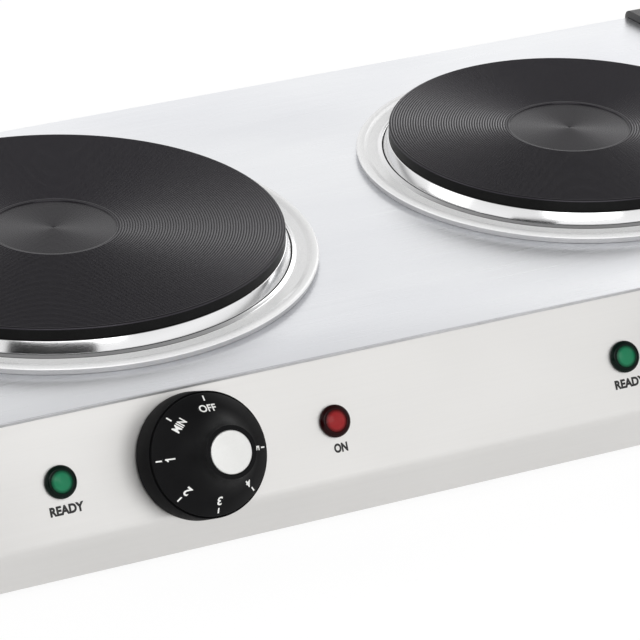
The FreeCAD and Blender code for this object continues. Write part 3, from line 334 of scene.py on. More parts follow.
def turned_iron(name, colour, roughness, specular, pitch, spread):
    """Finely turned cast iron, which spreads what it reflects towards and from its axis."""
    shader = Shader(name, colour, roughness, specular=specular)
    shader.set("Specular Tint", IRON_SHEEN)
    shader.set("Anisotropic", spread)
    rings = shader.place(TURNED_RINGS, {"Pitch": pitch, "Crest": 0.0})["Rings"]
    shader.link(shader.between(rings, roughness - 0.05, roughness + 0.05, -1.0, 1.0), "Roughness")
    outward = shader.node("ShaderNodeTangent", direction_type="UV_MAP", uv_map="turn")
    shader.link(outward.outputs["Tangent"], "Tangent")
    return shader.material


def tinted_lens(name, deep, pale):
    """Lamp lens, deep at the rim, and pale and frosted over the middle."""
    shader = Shader(name, deep, 0.20, specular=0.09)
    shader.wear(LENS_TINT, {"Pale": (*pale, 1.0), "Deep": (*deep, 1.0)})
    shader.link(shader.place(FINE_GRAIN, {"Grain": 1500.0, "Depth": 0.01 * MM})["Normal"], "Normal")
    shader.set("Coat Weight", 0.06)
    shader.set("Coat Roughness", 0.05)
    return shader.material


def grey(level):
    return (level, level, level)


DECK_STEEL = brushed_steel("deck_brushed", (0.82, 0.83, 0.86), (0.89, 0.90, 0.92), 0.30, 0.0025)
# Edge of the deck sheet: a duller cut edge, darker than the deck as painted shade along the deck's edge.
DECK_EDGE_SHADE = grained("deck_edge_painted_shade", (0.56, 0.56, 0.57), (0.66, 0.66, 0.67), 0.70, 900.0, 0.004, metallic=1.0)
PANEL_STEEL = brushed_steel("panel_satin", (0.74, 0.73, 0.715), (0.79, 0.78, 0.765), 0.42, 0.002)
ZINC_SHEET = grained("zinc_sheet", (0.50, 0.51, 0.53), (0.68, 0.69, 0.70), 0.40, 300.0, 0.004, metallic=1.0)
# Plate top: near-black iron whose groove floors take painted shade.
PLATE_IRON = grooved_iron(
    "plate_iron", floor=(0.0004, 0.0004, 0.0005), crest=(0.022, 0.020, 0.025), specular=0.35, grain=2200.0,
    depth=0.0008,
)
DISC_IRON = turned_iron("disc_iron", (0.007, 0.006, 0.008), 0.30, specular=0.29, pitch=1.1, spread=0.95)
RIM_IRON = grained("rim_iron", grey(0.003), grey(0.006), 0.45, 1600.0, 0.01, specular=0.12)
CHROME = polished("ring_polished", (0.76, 0.76, 0.765), 0.14)
# Channel and lip: satin metal given a near-white, barely metallic colour, partly a painted reflection of the
# bright room.
RING_SATIN_REFLECTION = grained("ring_satin_painted_reflection", grey(0.94), grey(0.97), 0.25, 7000.0, 0.0002, specular=0.8, metallic=0.1)
# Grey: painted shade on the outer and under faces of the ring's lip.
RING_LIP_SHADE = grained("ring_lip_painted_shade", (0.52, 0.52, 0.53), (0.58, 0.58, 0.59), 0.55, 1200.0, 0.002, metallic=0.5)
# Near black: painted shade in the crease at the foot of the ring's wall.
RING_CREASE_SHADE = grained("ring_crease_painted_shade", grey(0.02), grey(0.035), 0.60, 900.0, 0.004, metallic=1.0)
HANDLE_BLACK = grained(
    "handle_moulded", (0.006, 0.006, 0.007), (0.011, 0.011, 0.012), 0.30, 1500.0, 0.004, specular=0.75,
)
KNOB_TINTS = (0.006, 0.006, 0.0065), (0.009, 0.009, 0.0095)
KNOB_BLACK = grained("knob_moulded", *KNOB_TINTS, 0.42, 2600.0, 0.004, specular=0.05)
KNOB_SKIRT = grained("knob_skirt", *KNOB_TINTS, 0.55, 2600.0, 0.004, specular=0.02)
CAP_SILVER = grained(
    "cap_silver", (0.77, 0.77, 0.755), (0.81, 0.81, 0.795), 0.50, 1500.0, 0.002, metallic=1.0,
)
LENS_GREEN = tinted_lens("lens_green", (0.0003, 0.006, 0.0035), (0.020, 0.20, 0.095))
LENS_RED = tinted_lens("lens_red", (0.014, 0.0006, 0.0008), (0.30, 0.022, 0.024))
RUBBER = grained("foot_rubber", grey(0.014), grey(0.024), 0.72, 900.0, 0.02)
CERAMIC = grained("block_ceramic", (0.72, 0.70, 0.64), (0.82, 0.80, 0.75), 0.55, 700.0, 0.01)
LAMP_GLASS = grained("lamp_glass", (0.80, 0.76, 0.70), (0.88, 0.84, 0.80), 0.12, 200.0, 0.002)
PLATED = grained("plated_steel", (0.52, 0.52, 0.53), (0.66, 0.66, 0.67), 0.30, 900.0, 0.003, metallic=1.0)
DARK_TUBE = grained("element_tube", (0.16, 0.15, 0.14), (0.26, 0.24, 0.22), 0.48, 800.0, 0.006, metallic=1.0)
GLAND_BLACK = grained("gland_moulded", grey(0.014), grey(0.022), 0.50, 1500.0, 0.01)
SLEEVE = grained("woven_sleeve", (0.60, 0.58, 0.52), (0.74, 0.72, 0.66), 0.80, 1300.0, 0.08, specular=0.2)
PRINT_WHITE = grained("print_white", (0.84, 0.84, 0.82), (0.90, 0.90, 0.88), 0.50, 1200.0, 0.002)
PRINT_GREY = grained("print_grey", (0.008, 0.007, 0.007), (0.013, 0.012, 0.012), 0.50, 1200.0, 0.002)

CAD_LOOKS = {
    "deck_steel": DECK_STEEL, "panel_steel": PANEL_STEEL, "inner_steel": ZINC_SHEET, "chrome_ring": CHROME,
    "plate_iron": PLATE_IRON, "handle_plastic": HANDLE_BLACK, "knob_plastic": KNOB_BLACK,
    "cap_silver": CAP_SILVER, "green_lens": LENS_GREEN, "red_lens": LENS_RED, "lamp_glass": LAMP_GLASS,
    "foot_rubber": RUBBER, "white_ceramic": CERAMIC, "fastener_steel": PLATED, "element_steel": DARK_TUBE,
    "gland_plastic": GLAND_BLACK, "lead_sleeve": SLEEVE,
}


def dress_cad_nodes():
    """Every CAD node that still shows takes the look of its slot in the record."""
    for part in frame["record"]["subparts"]:
        node = NODES[part["node"]]
        node.data.materials.clear()
        node.data.materials.append(CAD_LOOKS[part["material_slot"]])


# Places taken from the CAD

LEAN = math.radians(28.0)
SLOPE_UP = Vector((0.0, math.sin(LEAN), math.cos(LEAN)))
SLOPE_OUT = Vector((0.0, -math.cos(LEAN), math.sin(LEAN)))
PLATE_RISE = 13.4
BURNERS = ("large", "small")
SIDES = ("left", "right")


def panel_place(spot):
    """Matrix of a frame on the control panel: X along it, Y up the slope, Z out of it."""
    turn = Matrix((Vector((1, 0, 0)), SLOPE_UP, SLOPE_OUT)).transposed().to_4x4()
    return Matrix.Translation(spot) @ turn


def dial_spot(side):
    """Where a dial's axis meets the face of the panel, from its joint."""
    for joint in frame["record"]["behaviour"]["joints"]:
        if joint["child"] == f"{side}_dial":
            return Vector(joint["pos_m"])


def plate_facts(label):
    """Centre of a plate's top, and its radius in millimetres."""
    low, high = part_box(f"{label}_plate")
    centre = Vector(((low[0] + high[0]) / 2, (low[1] + high[1]) / 2, high[2]))
    return centre, (high[0] - low[0]) / 2 / MM


# Deck

DECK_SHEET = 1.2
DECK_BOW = 8.0
DECK_ROUND = 0.5
OPENING_GAP = 5.0
EDGE_STEPS = 64


def deck_loop(bm, inset, height):
    """The deck's outline, moved in by a distance and set at a height; returns its edges."""
    low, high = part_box("deck_panel")
    half_depth, middle = (high[1] - low[1]) / 2, (high[1] + low[1]) / 2
    bow = DECK_BOW * MM
    radius = (half_depth ** 2 + bow ** 2) / (2 * bow)
    reach = radius - inset
    side = []
    for step in range(EDGE_STEPS + 1):
        y = (half_depth - inset) * (2 * step / EDGE_STEPS - 1)
        side.append((high[0] - radius + math.sqrt(reach ** 2 - y ** 2), y))
    outline = side + [(-x, -y) for x, y in side]
    verts = [bm.verts.new((x, middle + y, high[2] + height)) for x, y in outline]
    return [bm.edges.new(pair) for pair in zip(verts, verts[1:] + verts[:1])]


def opening_loop(bm, label, height):
    """The round opening in the deck under a plate; returns its edges."""
    centre, radius = plate_facts(label)
    place = Matrix.Translation((centre.x, centre.y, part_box("deck_panel")[1][2] + height))
    made = bmesh.ops.create_circle(
        bm, segments=2 * EDGE_STEPS, radius=(radius + OPENING_GAP) * MM, matrix=place,
    )
    return list({edge for vert in made["verts"] for edge in vert.link_edges})


def make_deck():
    bm = bmesh.new()
    foot = -DECK_SHEET * MM
    turns = [math.radians(90.0 * step / 5) for step in range(6)]
    levels = [(DECK_ROUND * MM * (1 - math.sin(t)), DECK_ROUND * MM * (math.cos(t) - 1)) for t in turns]
    loops = [deck_loop(bm, inset, height) for inset, height in levels + [(0.0, foot)]]
    for upper, lower in zip(loops, loops[1:]):
        bmesh.ops.bridge_loops(bm, edges=upper + lower)
    tops, feet = loops[0], loops[-1]
    for label in BURNERS:
        top, bottom = opening_loop(bm, label, 0.0), opening_loop(bm, label, foot)
        bmesh.ops.bridge_loops(bm, edges=top + bottom)
        tops, feet = tops + top, feet + bottom
    for edges in (tops, feet):
        bmesh.ops.triangle_fill(bm, edges=edges, use_beauty=True)
    bmesh.ops.recalc_face_normals(bm, faces=bm.faces[:])
    edge_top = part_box("deck_panel")[1][2] - DECK_ROUND * MM / 2
    # The lower rounding and sheet edge take the darker edge look: painted shade along the deck's edge.
    paint_faces(bm, lambda middle: middle.z < edge_top, 1)
    make_piece("deck_sheet", bm, [DECK_STEEL, DECK_EDGE_SHADE], HOUSING, ["deck_panel"], 30.0)


# Burners

DISC_SINK = 0.6
DIMPLE_RADIUS, DIMPLE_DEPTH = 1.6, 0.25
GROOVE_DEPTH = 0.24
GROOVE_SHAPE = ((0.0, 0.0), (0.1, 0.0), (0.55, 1.0))
PLATE_BORDER, PLATE_ROUND = 1.0, 1.0
PLATE_SIDE, PLATE_CHAMFER = 5.2, 0.3
NECK_INSET, NECK_FOOT = 2.4, 13.9
TURN_STEPS = 180


def plate_profile(radius):
    """Half section of a plate, from the centre of its top round its rim to its neck."""
    dimple = [
        (0.0, -DISC_SINK - DIMPLE_DEPTH), (DIMPLE_RADIUS / 2, -DISC_SINK - DIMPLE_DEPTH / 5),
        (DIMPLE_RADIUS, -DISC_SINK),
    ]
    disc = [(DISC_RADIUS * share, -DISC_SINK) for share in (0.25, 0.5, 0.75, 0.985)]
    step = [(DISC_RADIUS - 0.1, -0.18), (DISC_RADIUS + 0.9, 0.0)]
    count = int((radius - PLATE_BORDER - GROOVE_START) / GROOVE_PITCH)
    grooves = [
        (GROOVE_START + (number + share) * GROOVE_PITCH, -GROOVE_DEPTH * depth)
        for number in range(count) for share, depth in GROOVE_SHAPE
    ]
    border = [(GROOVE_START + count * GROOVE_PITCH, 0.0)]
    rim = arc((radius - PLATE_ROUND, -PLATE_ROUND), PLATE_ROUND, 90.0, 0.0, 9)
    side = [
        (radius, PLATE_CHAMFER - PLATE_SIDE), (radius - PLATE_CHAMFER, -PLATE_SIDE),
        (radius - NECK_INSET, -PLATE_SIDE), (radius - NECK_INSET, -NECK_FOOT),
    ]
    return dimple + disc + step + grooves + border + rim + side


def make_plate(label):
    centre, radius = plate_facts(label)
    bm = turned(plate_profile(radius), TURN_STEPS)
    paint_faces(bm, lambda middle: middle.xy.length < (DISC_RADIUS - 0.2) * MM, 1)
    paint_faces(bm, lambda middle: middle.z < -0.9 * PLATE_ROUND * MM, 2)
    make_piece(
        f"{label}_turned_plate", bm, [PLATE_IRON, DISC_IRON, RIM_IRON], HOUSING,
        [f"{label}_plate"], 15.0, Matrix.Translation(centre),
    )


RING_LEVEL, DECK_LEVEL = 3.0 - PLATE_RISE, -PLATE_RISE
CHANNEL_SINK, RING_DEPTH = 0.4, 1.5
CREASE_FROM, CREASE_TO, CREASE_LEVEL = 2.3, 2.65, RING_LEVEL + 0.05
CHANNEL_FROM = 4.6
LIP_MIDDLE, LIP_RISE, LIP_CURVE = 11.6, 0.35, 4.05
LIP_FROM, LIP_TO = 116.4, 66.0
# Faces of the lip below this height take the painted shade.
LIP_SHADE_TOP = RING_LEVEL - 0.5


def ring_profile(radius):
    """Half section of a spill ring: wall, crease at its foot, cone, channel and a low rounded lip."""
    channel, under = RING_LEVEL - CHANNEL_SINK, RING_LEVEL - RING_DEPTH
    wall = [(-2.1, -5.35), (-0.2, -5.25), (0.4, -5.3), (2.2, RING_LEVEL + 0.6)]
    crease = [(CREASE_FROM, CREASE_LEVEL), (CREASE_TO, CREASE_LEVEL)]
    cone = [(2.75, RING_LEVEL + 0.55), (4.2, channel + 0.12), (4.8, channel), (8.8, channel)]
    lip = arc((LIP_MIDDLE, RING_LEVEL + LIP_RISE - LIP_CURVE), LIP_CURVE, LIP_FROM, LIP_TO, 5)
    edge = [(13.8, RING_LEVEL - 0.6), (13.2, DECK_LEVEL + 0.05), (12.6, DECK_LEVEL + 0.05)]
    back = [
        (12.2, under), (8.4, under), (8.2, DECK_LEVEL), (7.4, DECK_LEVEL), (7.2, under), (4.5, under + 0.1),
        (1.6, RING_LEVEL - 0.9), (-0.4, -6.0), (-2.1, -6.0),
    ]
    points = rounded(wall + crease + cone + lip + edge, 0.25) + back
    return [(radius + offset, height) for offset, height in points]


def make_ring(label):
    centre, radius = plate_facts(label)
    bm = turned(ring_profile(radius), TURN_STEPS, closed=True)
    first, last = (radius + CREASE_FROM - 0.05) * MM, (radius + CREASE_TO + 0.05) * MM
    channel, edge = (radius + CHANNEL_FROM) * MM, LIP_SHADE_TOP * MM
    # painted shade: the crease faces take the near-black material
    paint_faces(bm, lambda middle: first < middle.xy.length < last, 1)
    # the channel and lip take the near-white satin, partly a painted reflection
    paint_faces(bm, lambda middle: middle.xy.length > channel, 2)
    # painted shade: the lip's outer and under faces, below its top, go grey
    paint_faces(bm, lambda middle: middle.xy.length > channel and middle.z < edge, 3)
    make_piece(
        f"{label}_spun_ring", bm, [CHROME, RING_CREASE_SHADE, RING_SATIN_REFLECTION, RING_LIP_SHADE], HOUSING,
        [f"{label}_spill_ring"], 40.0, Matrix.Translation(centre),
    )


# Dials

KNOB_STEPS = 128
HUB_NECK = 10.2
HUB_TOP = 36.0
HUB_SHOULDER = 33.8
CAP_RADIUS, CAP_PLAY = 8.4, 0.1
SKIRT_FOOT, SKIRT_TOP, SEAM_FLOOR = 1.0, 12.8, 12.2
HUB_FLARE = 19.8
FACE_EDGE = (23.25, 14.4)
FACE_LEAN = 35.5
WORD_RADIUS, DIGIT_RADIUS = 17.5, 17.8
WORD_HEIGHT, DIGIT_HEIGHT = 2.8, 3.2
MARK_BREADTH, DIGIT_BREADTH = {"OFF": 1.06, "MIN": 0.86}, 1.1
TICK_FROM, TICK_TO = 20.4, 22.4
TICK_BREADTH = 0.58
PRINT_LIFT = 0.05
MARK_WEIGHT, LABEL_WEIGHT = 0.025, 0.05
DIAL_MARKS = ("OFF", "MIN", "1", "2", "3", "4", "5")
MARK_STEP, MARK_TURN = 45.0, -4.3

HUB_SIDE = arc((HUB_NECK + HUB_FLARE, HUB_SHOULDER), HUB_FLARE, 270.0 - FACE_LEAN, 180.0, 28)
DIAL_FACE = [FACE_EDGE] + HUB_SIDE


def knob_profile():
    """Half section of a dial: skirt, groove, face flowing into the hub, front lip and recess."""
    rim = rounded([
        (21.4, SKIRT_FOOT), (24.7, SKIRT_FOOT), (24.3, SKIRT_TOP), (24.0, SKIRT_TOP + 0.2),
        (23.8, SEAM_FLOOR), (23.5, SEAM_FLOOR), (FACE_EDGE[0] + 0.15, FACE_EDGE[1] - 0.25), FACE_EDGE,
    ], 0.3)
    recess = CAP_RADIUS + CAP_PLAY
    lip = rounded([
        (HUB_NECK, HUB_SHOULDER), (HUB_NECK, HUB_TOP), (recess, HUB_TOP), (recess, HUB_TOP - 0.75),
    ], 0.35)
    inside = [(7.55, HUB_TOP - 0.8), (0.0, HUB_TOP - 0.8)]
    return rim[:-1] + DIAL_FACE + lip[1:] + inside


def face_height(radius):
    """Height of the dial face above the panel at a radius."""
    for (outer, low), (inner, high) in zip(DIAL_FACE, DIAL_FACE[1:]):
        if inner <= radius <= outer:
            return low + (high - low) * (outer - radius) / (outer - inner)
    return FACE_EDGE[1]


def text_mesh(words, height, breadth, weight):
    """Flat lettering as a mesh, centred, with capitals of a height in millimetres."""
    curve = bpy.data.curves.new("lettering", "FONT")
    curve.body = words
    curve.offset = weight
    curve.resolution_u = 4
    holder = bpy.data.objects.new("lettering", curve)
    bpy.context.scene.collection.objects.link(holder)
    bpy.context.view_layer.update()
    mesh = bpy.data.meshes.new_from_object(holder.evaluated_get(bpy.context.evaluated_depsgraph_get()))
    bpy.data.objects.remove(holder)
    bpy.data.curves.remove(curve)
    bm = bmesh.new()
    bm.from_mesh(mesh)
    bpy.data.meshes.remove(mesh)
    xs, ys = [v.co.x for v in bm.verts], [v.co.y for v in bm.verts]
    middle = Vector(((min(xs) + max(xs)) / 2, (min(ys) + max(ys)) / 2, 0.0))
    scale = height * MM / (max(ys) - min(ys))
    bm.transform(Matrix.Diagonal((scale * breadth, scale, scale, 1.0)) @ Matrix.Translation(-middle))
    return bm


def join(target, source):
    """Add one bmesh to another."""
    mesh = bpy.data.meshes.new("joined")
    source.to_mesh(mesh)
    source.free()
    target.from_mesh(mesh)
    bpy.data.meshes.remove(mesh)


def box_mesh(x_from, x_to, y_from, y_to):
    """A flat rectangle in a few strips along Y."""
    bm = bmesh.new()
    bmesh.ops.create_grid(bm, x_segments=1, y_segments=4, size=0.5)
    scale = Matrix.Diagonal(((x_to - x_from) * MM, (y_to - y_from) * MM, 1.0, 1.0))
    bm.transform(Matrix.Translation(((x_from + x_to) / 2 * MM, (y_from + y_to) / 2 * MM, 0.0)) @ scale)
    return bm


def one_mesh(height):
    """A figure one: an upright stroke with a flag at its top left."""
    half, stroke = height / 2, height * 0.17
    bm = box_mesh(0.0, stroke, -half, half)
    flag = box_mesh(-height * 0.32, stroke / 2, -stroke / 2, stroke / 2)
    slant = Matrix.Rotation(math.radians(38.0), 4, "Z")
    flag.transform(Matrix.Translation((stroke / 2 * MM, (half - stroke * 0.75) * MM, 0.0)) @ slant)
    join(bm, flag)
    return bm


def dial_print():
    """Ticks and marks on the dial face, their tops outward, anticlockwise from OFF."""
    bm = bmesh.new()
    for number, words in enumerate(DIAL_MARKS):
        turn = Matrix.Rotation(math.radians(MARK_TURN + MARK_STEP * number), 4, "Z")
        tick = box_mesh(-TICK_BREADTH / 2, TICK_BREADTH / 2, TICK_FROM, TICK_TO)
        tick.transform(turn)
        join(bm, tick)
        is_word = len(words) > 1
        height = WORD_HEIGHT if is_word else DIGIT_HEIGHT
        reach = WORD_RADIUS if is_word else DIGIT_RADIUS
        breadth = MARK_BREADTH.get(words, DIGIT_BREADTH)
        label = one_mesh(height) if words == "1" else text_mesh(words, height, breadth, MARK_WEIGHT)
        label.transform(turn @ Matrix.Translation((0.0, reach * MM, 0.0)))
        join(bm, label)
    for vert in bm.verts:
        vert.co.z = (face_height(vert.co.xy.length / MM) + PRINT_LIFT) * MM
    return bm


def make_dial(side):
    place = panel_place(dial_spot(side))
    body = f"{side}_dial"
    knob = turned(knob_profile(), KNOB_STEPS)
    paint_faces(knob, lambda middle: middle.z < (SKIRT_TOP - 0.2) * MM, 1)
    make_piece(f"{side}_moulded_knob", knob, [KNOB_BLACK, KNOB_SKIRT], body, [f"{side}_knob"],
               32.0, place)
    cap = turned(rounded([
        (0.0, 35.98), (CAP_RADIUS - 0.4, 35.96), (CAP_RADIUS, 35.7), (CAP_RADIUS, 35.2),
    ], 0.3), KNOB_STEPS)
    make_piece(f"{side}_bright_cap", cap, [CAP_SILVER], body, [f"{side}_knob_cap"], 35.0, place)
    make_piece(f"{side}_dial_marks", dial_print(), [PRINT_WHITE], body, (), 35.0, place)


# Lamps and lettering

LAMPS = {"ready": (LENS_GREEN, "green_lens", "READY", 0.93), "on": (LENS_RED, "red_lens", "ON", 0.80)}
LAMP_RISE = 1.5
LENS_STEPS = 64
LABEL_DROP, LABEL_SHIFT, LABEL_HEIGHT = 9.0, 0.6, 3.7
DOME_TOP, DOME_CURVE, DOME_FROM = 3.0, 9.84, 66.0


def lens_profile():
    """A lens with a flat rim round a low frosted dome."""
    rim = rounded([(4.6, -0.02), (6.45, 0.0), (6.4, 1.4), (5.5, 2.4), (4.5, 2.5), (4.2, 2.1)], 0.35)
    dome = arc((0.0, DOME_TOP - DOME_CURVE), DOME_CURVE, DOME_FROM, 90.0, 6)
    return rim + dome


def make_lamp(side, name):
    look, slot, words, breadth = LAMPS[name]
    low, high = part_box(f"{side}_{name}_lens")
    spot = dial_spot(side) + SLOPE_UP * (LAMP_RISE * MM)
    spot.x = (low[0] + high[0]) / 2
    make_piece(f"{side}_{name}_jewel", turned(lens_profile(), LENS_STEPS), [look], HOUSING,
               [f"{side}_{name}_lens"], 30.0, panel_place(spot))
    below = spot - SLOPE_UP * ((LABEL_DROP + LAMP_RISE) * MM) + SLOPE_OUT * (PRINT_LIFT * MM)
    below.x += LABEL_SHIFT * MM
    word = text_mesh(words, LABEL_HEIGHT, breadth, LABEL_WEIGHT)
    make_piece(f"{side}_{name}_word", word, [PRINT_GREY], HOUSING, (), 35.0,
               panel_place(below))


# Feet, cord gland and screws

MOULDED_STEPS, SCREW_STEPS = 72, 32


def make_foot(node):
    low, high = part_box(node)
    top = (high[2] - low[2]) / MM
    bm = turned(rounded([
        (1.85, 2.4), (3.5, 2.4), (3.5, 0.0), (5.6, 0.0), (5.9, 0.45), (6.5, 0.45), (6.8, 0.0), (9.5, 0.0),
        (11.0, top), (1.85, top),
    ], 0.5), MOULDED_STEPS, closed=True)
    place = Matrix.Translation(((low[0] + high[0]) / 2, (low[1] + high[1]) / 2, low[2]))
    make_piece(f"{node}_moulded", bm, [RUBBER], HOUSING, [node], 35.0, place)


def make_gland():
    low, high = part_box("cord_gland")
    bm = turned(rounded([
        (4.0, 0.0), (7.0, 0.0), (7.0, 10.2), (10.0, 10.2), (9.7, 11.2), (8.7, 12.7), (4.6, 12.7), (4.0, 12.0),
    ], 0.5), MOULDED_STEPS, closed=True)
    turn = Matrix.Rotation(math.radians(-90.0), 4, "X")
    place = Matrix.Translation(((low[0] + high[0]) / 2, low[1], (low[2] + high[2]) / 2)) @ turn
    make_piece("cord_gland_moulded", bm, [GLAND_BLACK], HOUSING, ["cord_gland"], 35.0, place)


SCREW_HEAD, SCREW_RISE, SCREW_SHANK = 3.4, 2.0, 1.75
RECESS_ARM, RECESS_WIDTH, RECESS_DEPTH = 1.75, 0.5, 1.1


def loose_boxes(node):
    """Low and high corners of the separate solids in a CAD node."""
    bm = bmesh.new()
    bm.from_mesh(NODES[node].data)
    bmesh.ops.remove_doubles(bm, verts=bm.verts[:], dist=1e-6)
    waiting, boxes = set(bm.verts), []
    while waiting:
        front = [waiting.pop()]
        spots = []
        while front:
            vert = front.pop()
            spots.append(vert.co.copy())
            near = {edge.other_vert(vert) for edge in vert.link_edges} & waiting
            waiting -= near
            front.extend(near)
        axes = list(zip(*spots))
        boxes.append([Vector(map(pick, axes)) for pick in (min, max)])
    bm.free()
    return boxes


def cross_loop(bm, share, height):
    """The outline of a screw's cross recess, drawn smaller by a share; returns its edges."""
    arm, half = RECESS_ARM * share * MM, RECESS_WIDTH * share * MM
    quarter = [Vector((arm, -half, 0.0)), Vector((arm, half, 0.0)), Vector((half, half, 0.0))]
    turns = [Matrix.Rotation(math.radians(90.0 * step), 3, "Z") for step in range(4)]
    lift = Vector((0.0, 0.0, height * MM))
    verts = [bm.verts.new(turn @ corner + lift) for turn in turns for corner in quarter]
    return [bm.edges.new(pair) for pair in zip(verts, verts[1:] + verts[:1])]


def screw_mesh(length):
    """A pan-head screw that stands head up on the XY plane, its shank going down."""
    crown = SCREW_RISE
    bm = turned(rounded([
        (2.3, crown), (SCREW_HEAD - 0.5, crown - 0.2), (SCREW_HEAD, crown - 1.0), (SCREW_HEAD, 0.0),
        (SCREW_SHANK, 0.0), (SCREW_SHANK, -length + 0.8), (0.0, -length),
    ], 0.3), SCREW_STEPS)
    rim = [edge for edge in bm.edges if edge.is_boundary]
    mouth, floor = cross_loop(bm, 1.0, crown), cross_loop(bm, 0.6, crown - RECESS_DEPTH)
    bmesh.ops.triangle_fill(bm, edges=rim + mouth, use_beauty=True)
    bmesh.ops.bridge_loops(bm, edges=mouth + floor)
    bmesh.ops.triangle_fill(bm, edges=floor, use_beauty=True)
    bmesh.ops.recalc_face_normals(bm, faces=bm.faces[:])
    return bm


def make_screws(node):
    """Cross-recess screws, head down, for a group of the CAD's plain ones."""
    group = bmesh.new()
    for low, high in loose_boxes(node):
        screw = screw_mesh((high.z - low.z) / MM - SCREW_RISE)
        place = Vector(((low.x + high.x) / 2, (low.y + high.y) / 2, low.z + SCREW_RISE * MM))
        screw.transform(Matrix.Translation(place) @ Matrix.Rotation(math.pi, 4, "X"))
        join(group, screw)
    make_piece(f"{node}_cross_head", group, [PLATED], HOUSING, [node], 35.0)


# Room, light and camera, with places in metres

FLOOR_SIZE = 6.0
FLOOR_WHITE = {"Is Camera Ray": 0.85, "Is Glossy Ray": 0.5, "Is Transmission Ray": 0.85}
FLOOR_GLOW = 1.05
CARD_SPOT = (-0.274, -0.318, 0.150)
CARD_BREADTH, CARD_HEIGHT = 0.25, 0.13
CARD_TURN = -27.0
SKY_STOPS = (
    (0.0, 0.80), (0.50, 0.62), (0.515, 0.25), (0.55, 1.0), (0.62, 1.15), (0.74, 0.95), (0.82, 0.70),
    (0.90, 0.38), (1.0, 0.26),
)
SOFT_BOXES = {
    "left_box": {"spot": (-1.6, 0.5, 0.9), "aim": 0.06, "breadth": 1.0, "height": 1.4, "power": 3.5},
    "right_box": {"spot": (1.57, 1.23, 0.95), "aim": 0.06, "breadth": 0.5, "height": 1.5, "power": 3.8},
    "front_box": {"spot": (-0.5, -1.6, 1.3), "aim": 0.0, "breadth": 1.6, "height": 1.0, "power": 12.0},
}


def stage_sheet(name, size, material, where):
    """A flat sheet that belongs to the room and not to the object."""
    bm = bmesh.new()
    bmesh.ops.create_grid(bm, x_segments=1, y_segments=1, size=size)
    bm.transform(where)
    mesh = bpy.data.meshes.new(name)
    bm.to_mesh(mesh)
    bm.free()
    mesh.materials.append(material)
    sheet = bpy.data.objects.new(name, mesh)
    bpy.context.scene.collection.objects.link(sheet)
    return sheet


def make_floor():
    """A pale floor that the camera sees as white paper with a faint shadow, and does not see from below."""
    shader = Shader("floor_paper", (0.97, 0.97, 0.97), 0.9, specular=0.1)
    path = shader.node("ShaderNodeLightPath").outputs
    share = 0.0
    for kind, amount in FLOOR_WHITE.items():
        share = shader.maths("MULTIPLY_ADD", path[kind], amount, share)
    paper = shader.surface.outputs["BSDF"]
    glow = shader.node("ShaderNodeEmission", {"Color": WHITE, "Strength": FLOOR_GLOW}).outputs["Emission"]
    lit = shader.node("ShaderNodeMixShader", {0: share, 1: paper, 2: glow}).outputs["Shader"]
    below = shader.node("ShaderNodeNewGeometry").outputs["Backfacing"]
    clear = shader.node("ShaderNodeBsdfTransparent").outputs["BSDF"]
    sided = shader.node("ShaderNodeMixShader", {0: below, 1: lit, 2: clear}).outputs["Shader"]
    shader.tree.links.new(sided, shader.tree.nodes["Material Output"].inputs["Surface"])
    stage_sheet("floor", FLOOR_SIZE, shader.material, Matrix.Identity(4))


def make_sky():
    """Bright walls all round, a dim line where they meet the floor, and a dimmer ceiling."""
    world = bpy.data.worlds.new("studio")
    world.use_nodes = True
    bpy.context.scene.world = world
    sky = Nodes(world.node_tree)
    direction = sky.node("ShaderNodeTexCoord").outputs["Generated"]
    rise = sky.node("ShaderNodeSeparateXYZ", {"Vector": direction}).outputs["Z"]
    level = sky.node("ShaderNodeMapRange", {"Value": rise, "From Min": -1.0}).outputs["Result"]
    ramp = sky.node("ShaderNodeValToRGB", {"Fac": level})
    stops = ramp.color_ramp.elements
    while len(stops) < len(SKY_STOPS):
        stops.new(0.5)
    for stop, (position, brightness) in zip(stops, SKY_STOPS):
        stop.position = position
        stop.color = (*grey(brightness), 1.0)
    seen = sky.node("ShaderNodeLightPath").outputs["Is Camera Ray"]
    colour = sky.blend(seen, ramp.outputs["Color"], WHITE)
    sky.tree.links.new(colour, sky.tree.nodes["Background"].inputs["Color"])


def make_dark_card():
    """A black card out of sight beside the camera, for the bright rings to reflect."""
    black = Shader("card_black", grey(0.01), 0.9, specular=0.0).material
    turn = Matrix.Rotation(math.radians(CARD_TURN), 4, "Z")
    upright = Matrix.Rotation(math.radians(90.0), 4, "X")
    scale = Matrix.Diagonal((CARD_BREADTH, CARD_HEIGHT, 1.0, 1.0))
    card = stage_sheet("dark_card", 0.5, black, Matrix.Translation(CARD_SPOT) @ turn @ upright @ scale)
    card.visible_camera = False
    card.visible_shadow = False
    card.visible_diffuse = False


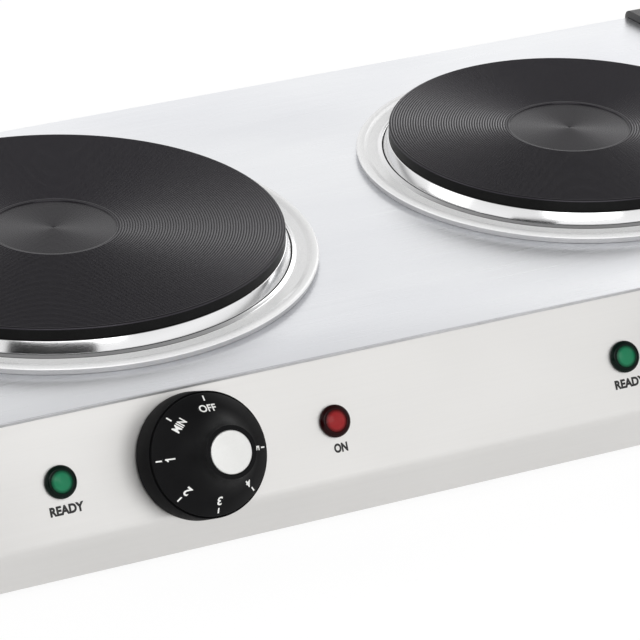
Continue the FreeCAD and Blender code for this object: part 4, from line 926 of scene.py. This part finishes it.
def make_light(name, spot, aim, breadth, height, power):
    """A soft box at a spot, turned to a height above the middle of the floor."""
    lamp = bpy.data.lights.new(name, "AREA")
    lamp.shape = "RECTANGLE"
    lamp.size, lamp.size_y = breadth, height
    lamp.energy = power
    holder = bpy.data.objects.new(name, lamp)
    holder.location = spot
    ahead = Vector((0.0, 0.0, aim)) - Vector(spot)
    holder.rotation_euler = ahead.to_track_quat("-Z", "Y").to_euler()
    bpy.context.scene.collection.objects.link(holder)


CAMERA_SPOT = (-0.7061, -1.3486, 0.7628)
CAMERA_YAW, CAMERA_DOWN, CAMERA_ROLL = 27.28, 26.02, 0.86
LENS_LENGTH, SENSOR = 227.9, 36.0


def make_camera():
    yaw, down, roll = (math.radians(angle) for angle in (CAMERA_YAW, CAMERA_DOWN, CAMERA_ROLL))
    ahead = Vector((math.sin(yaw) * math.cos(down), math.cos(yaw) * math.cos(down), -math.sin(down)))
    right = Vector((math.cos(yaw), -math.sin(yaw), 0.0))
    up = right.cross(ahead)
    tilted_right = right * math.cos(roll) + up * math.sin(roll)
    tilted_up = up * math.cos(roll) - right * math.sin(roll)
    camera = bpy.data.cameras.new("photo_view")
    camera.lens = LENS_LENGTH
    camera.sensor_width = SENSOR
    camera.sensor_fit = "HORIZONTAL"
    camera.clip_end = 60.0
    holder = bpy.data.objects.new("photo_view", camera)
    turn = Matrix((tilted_right, tilted_up, -ahead)).transposed().to_4x4()
    holder.matrix_world = Matrix.Translation(CAMERA_SPOT) @ turn
    bpy.context.scene.collection.objects.link(holder)
    bpy.context.scene.camera = holder


dress_cad_nodes()
make_deck()
for burner in BURNERS:
    make_plate(burner)
    make_ring(burner)
for dial_side in SIDES:
    make_dial(dial_side)
    for lamp_name in LAMPS:
        make_lamp(dial_side, lamp_name)
for end in ("front", "rear"):
    for dial_side in SIDES:
        make_foot(f"{end}_{dial_side}_foot")
make_gland()
for screw_group in ("foot_screws", "base_screws"):
    make_screws(screw_group)
make_floor()
make_sky()
make_dark_card()
for box_name, box_facts in SOFT_BOXES.items():
    make_light(box_name, **box_facts)
make_camera()

bpy.context.scene.view_settings.view_transform = "Standard"
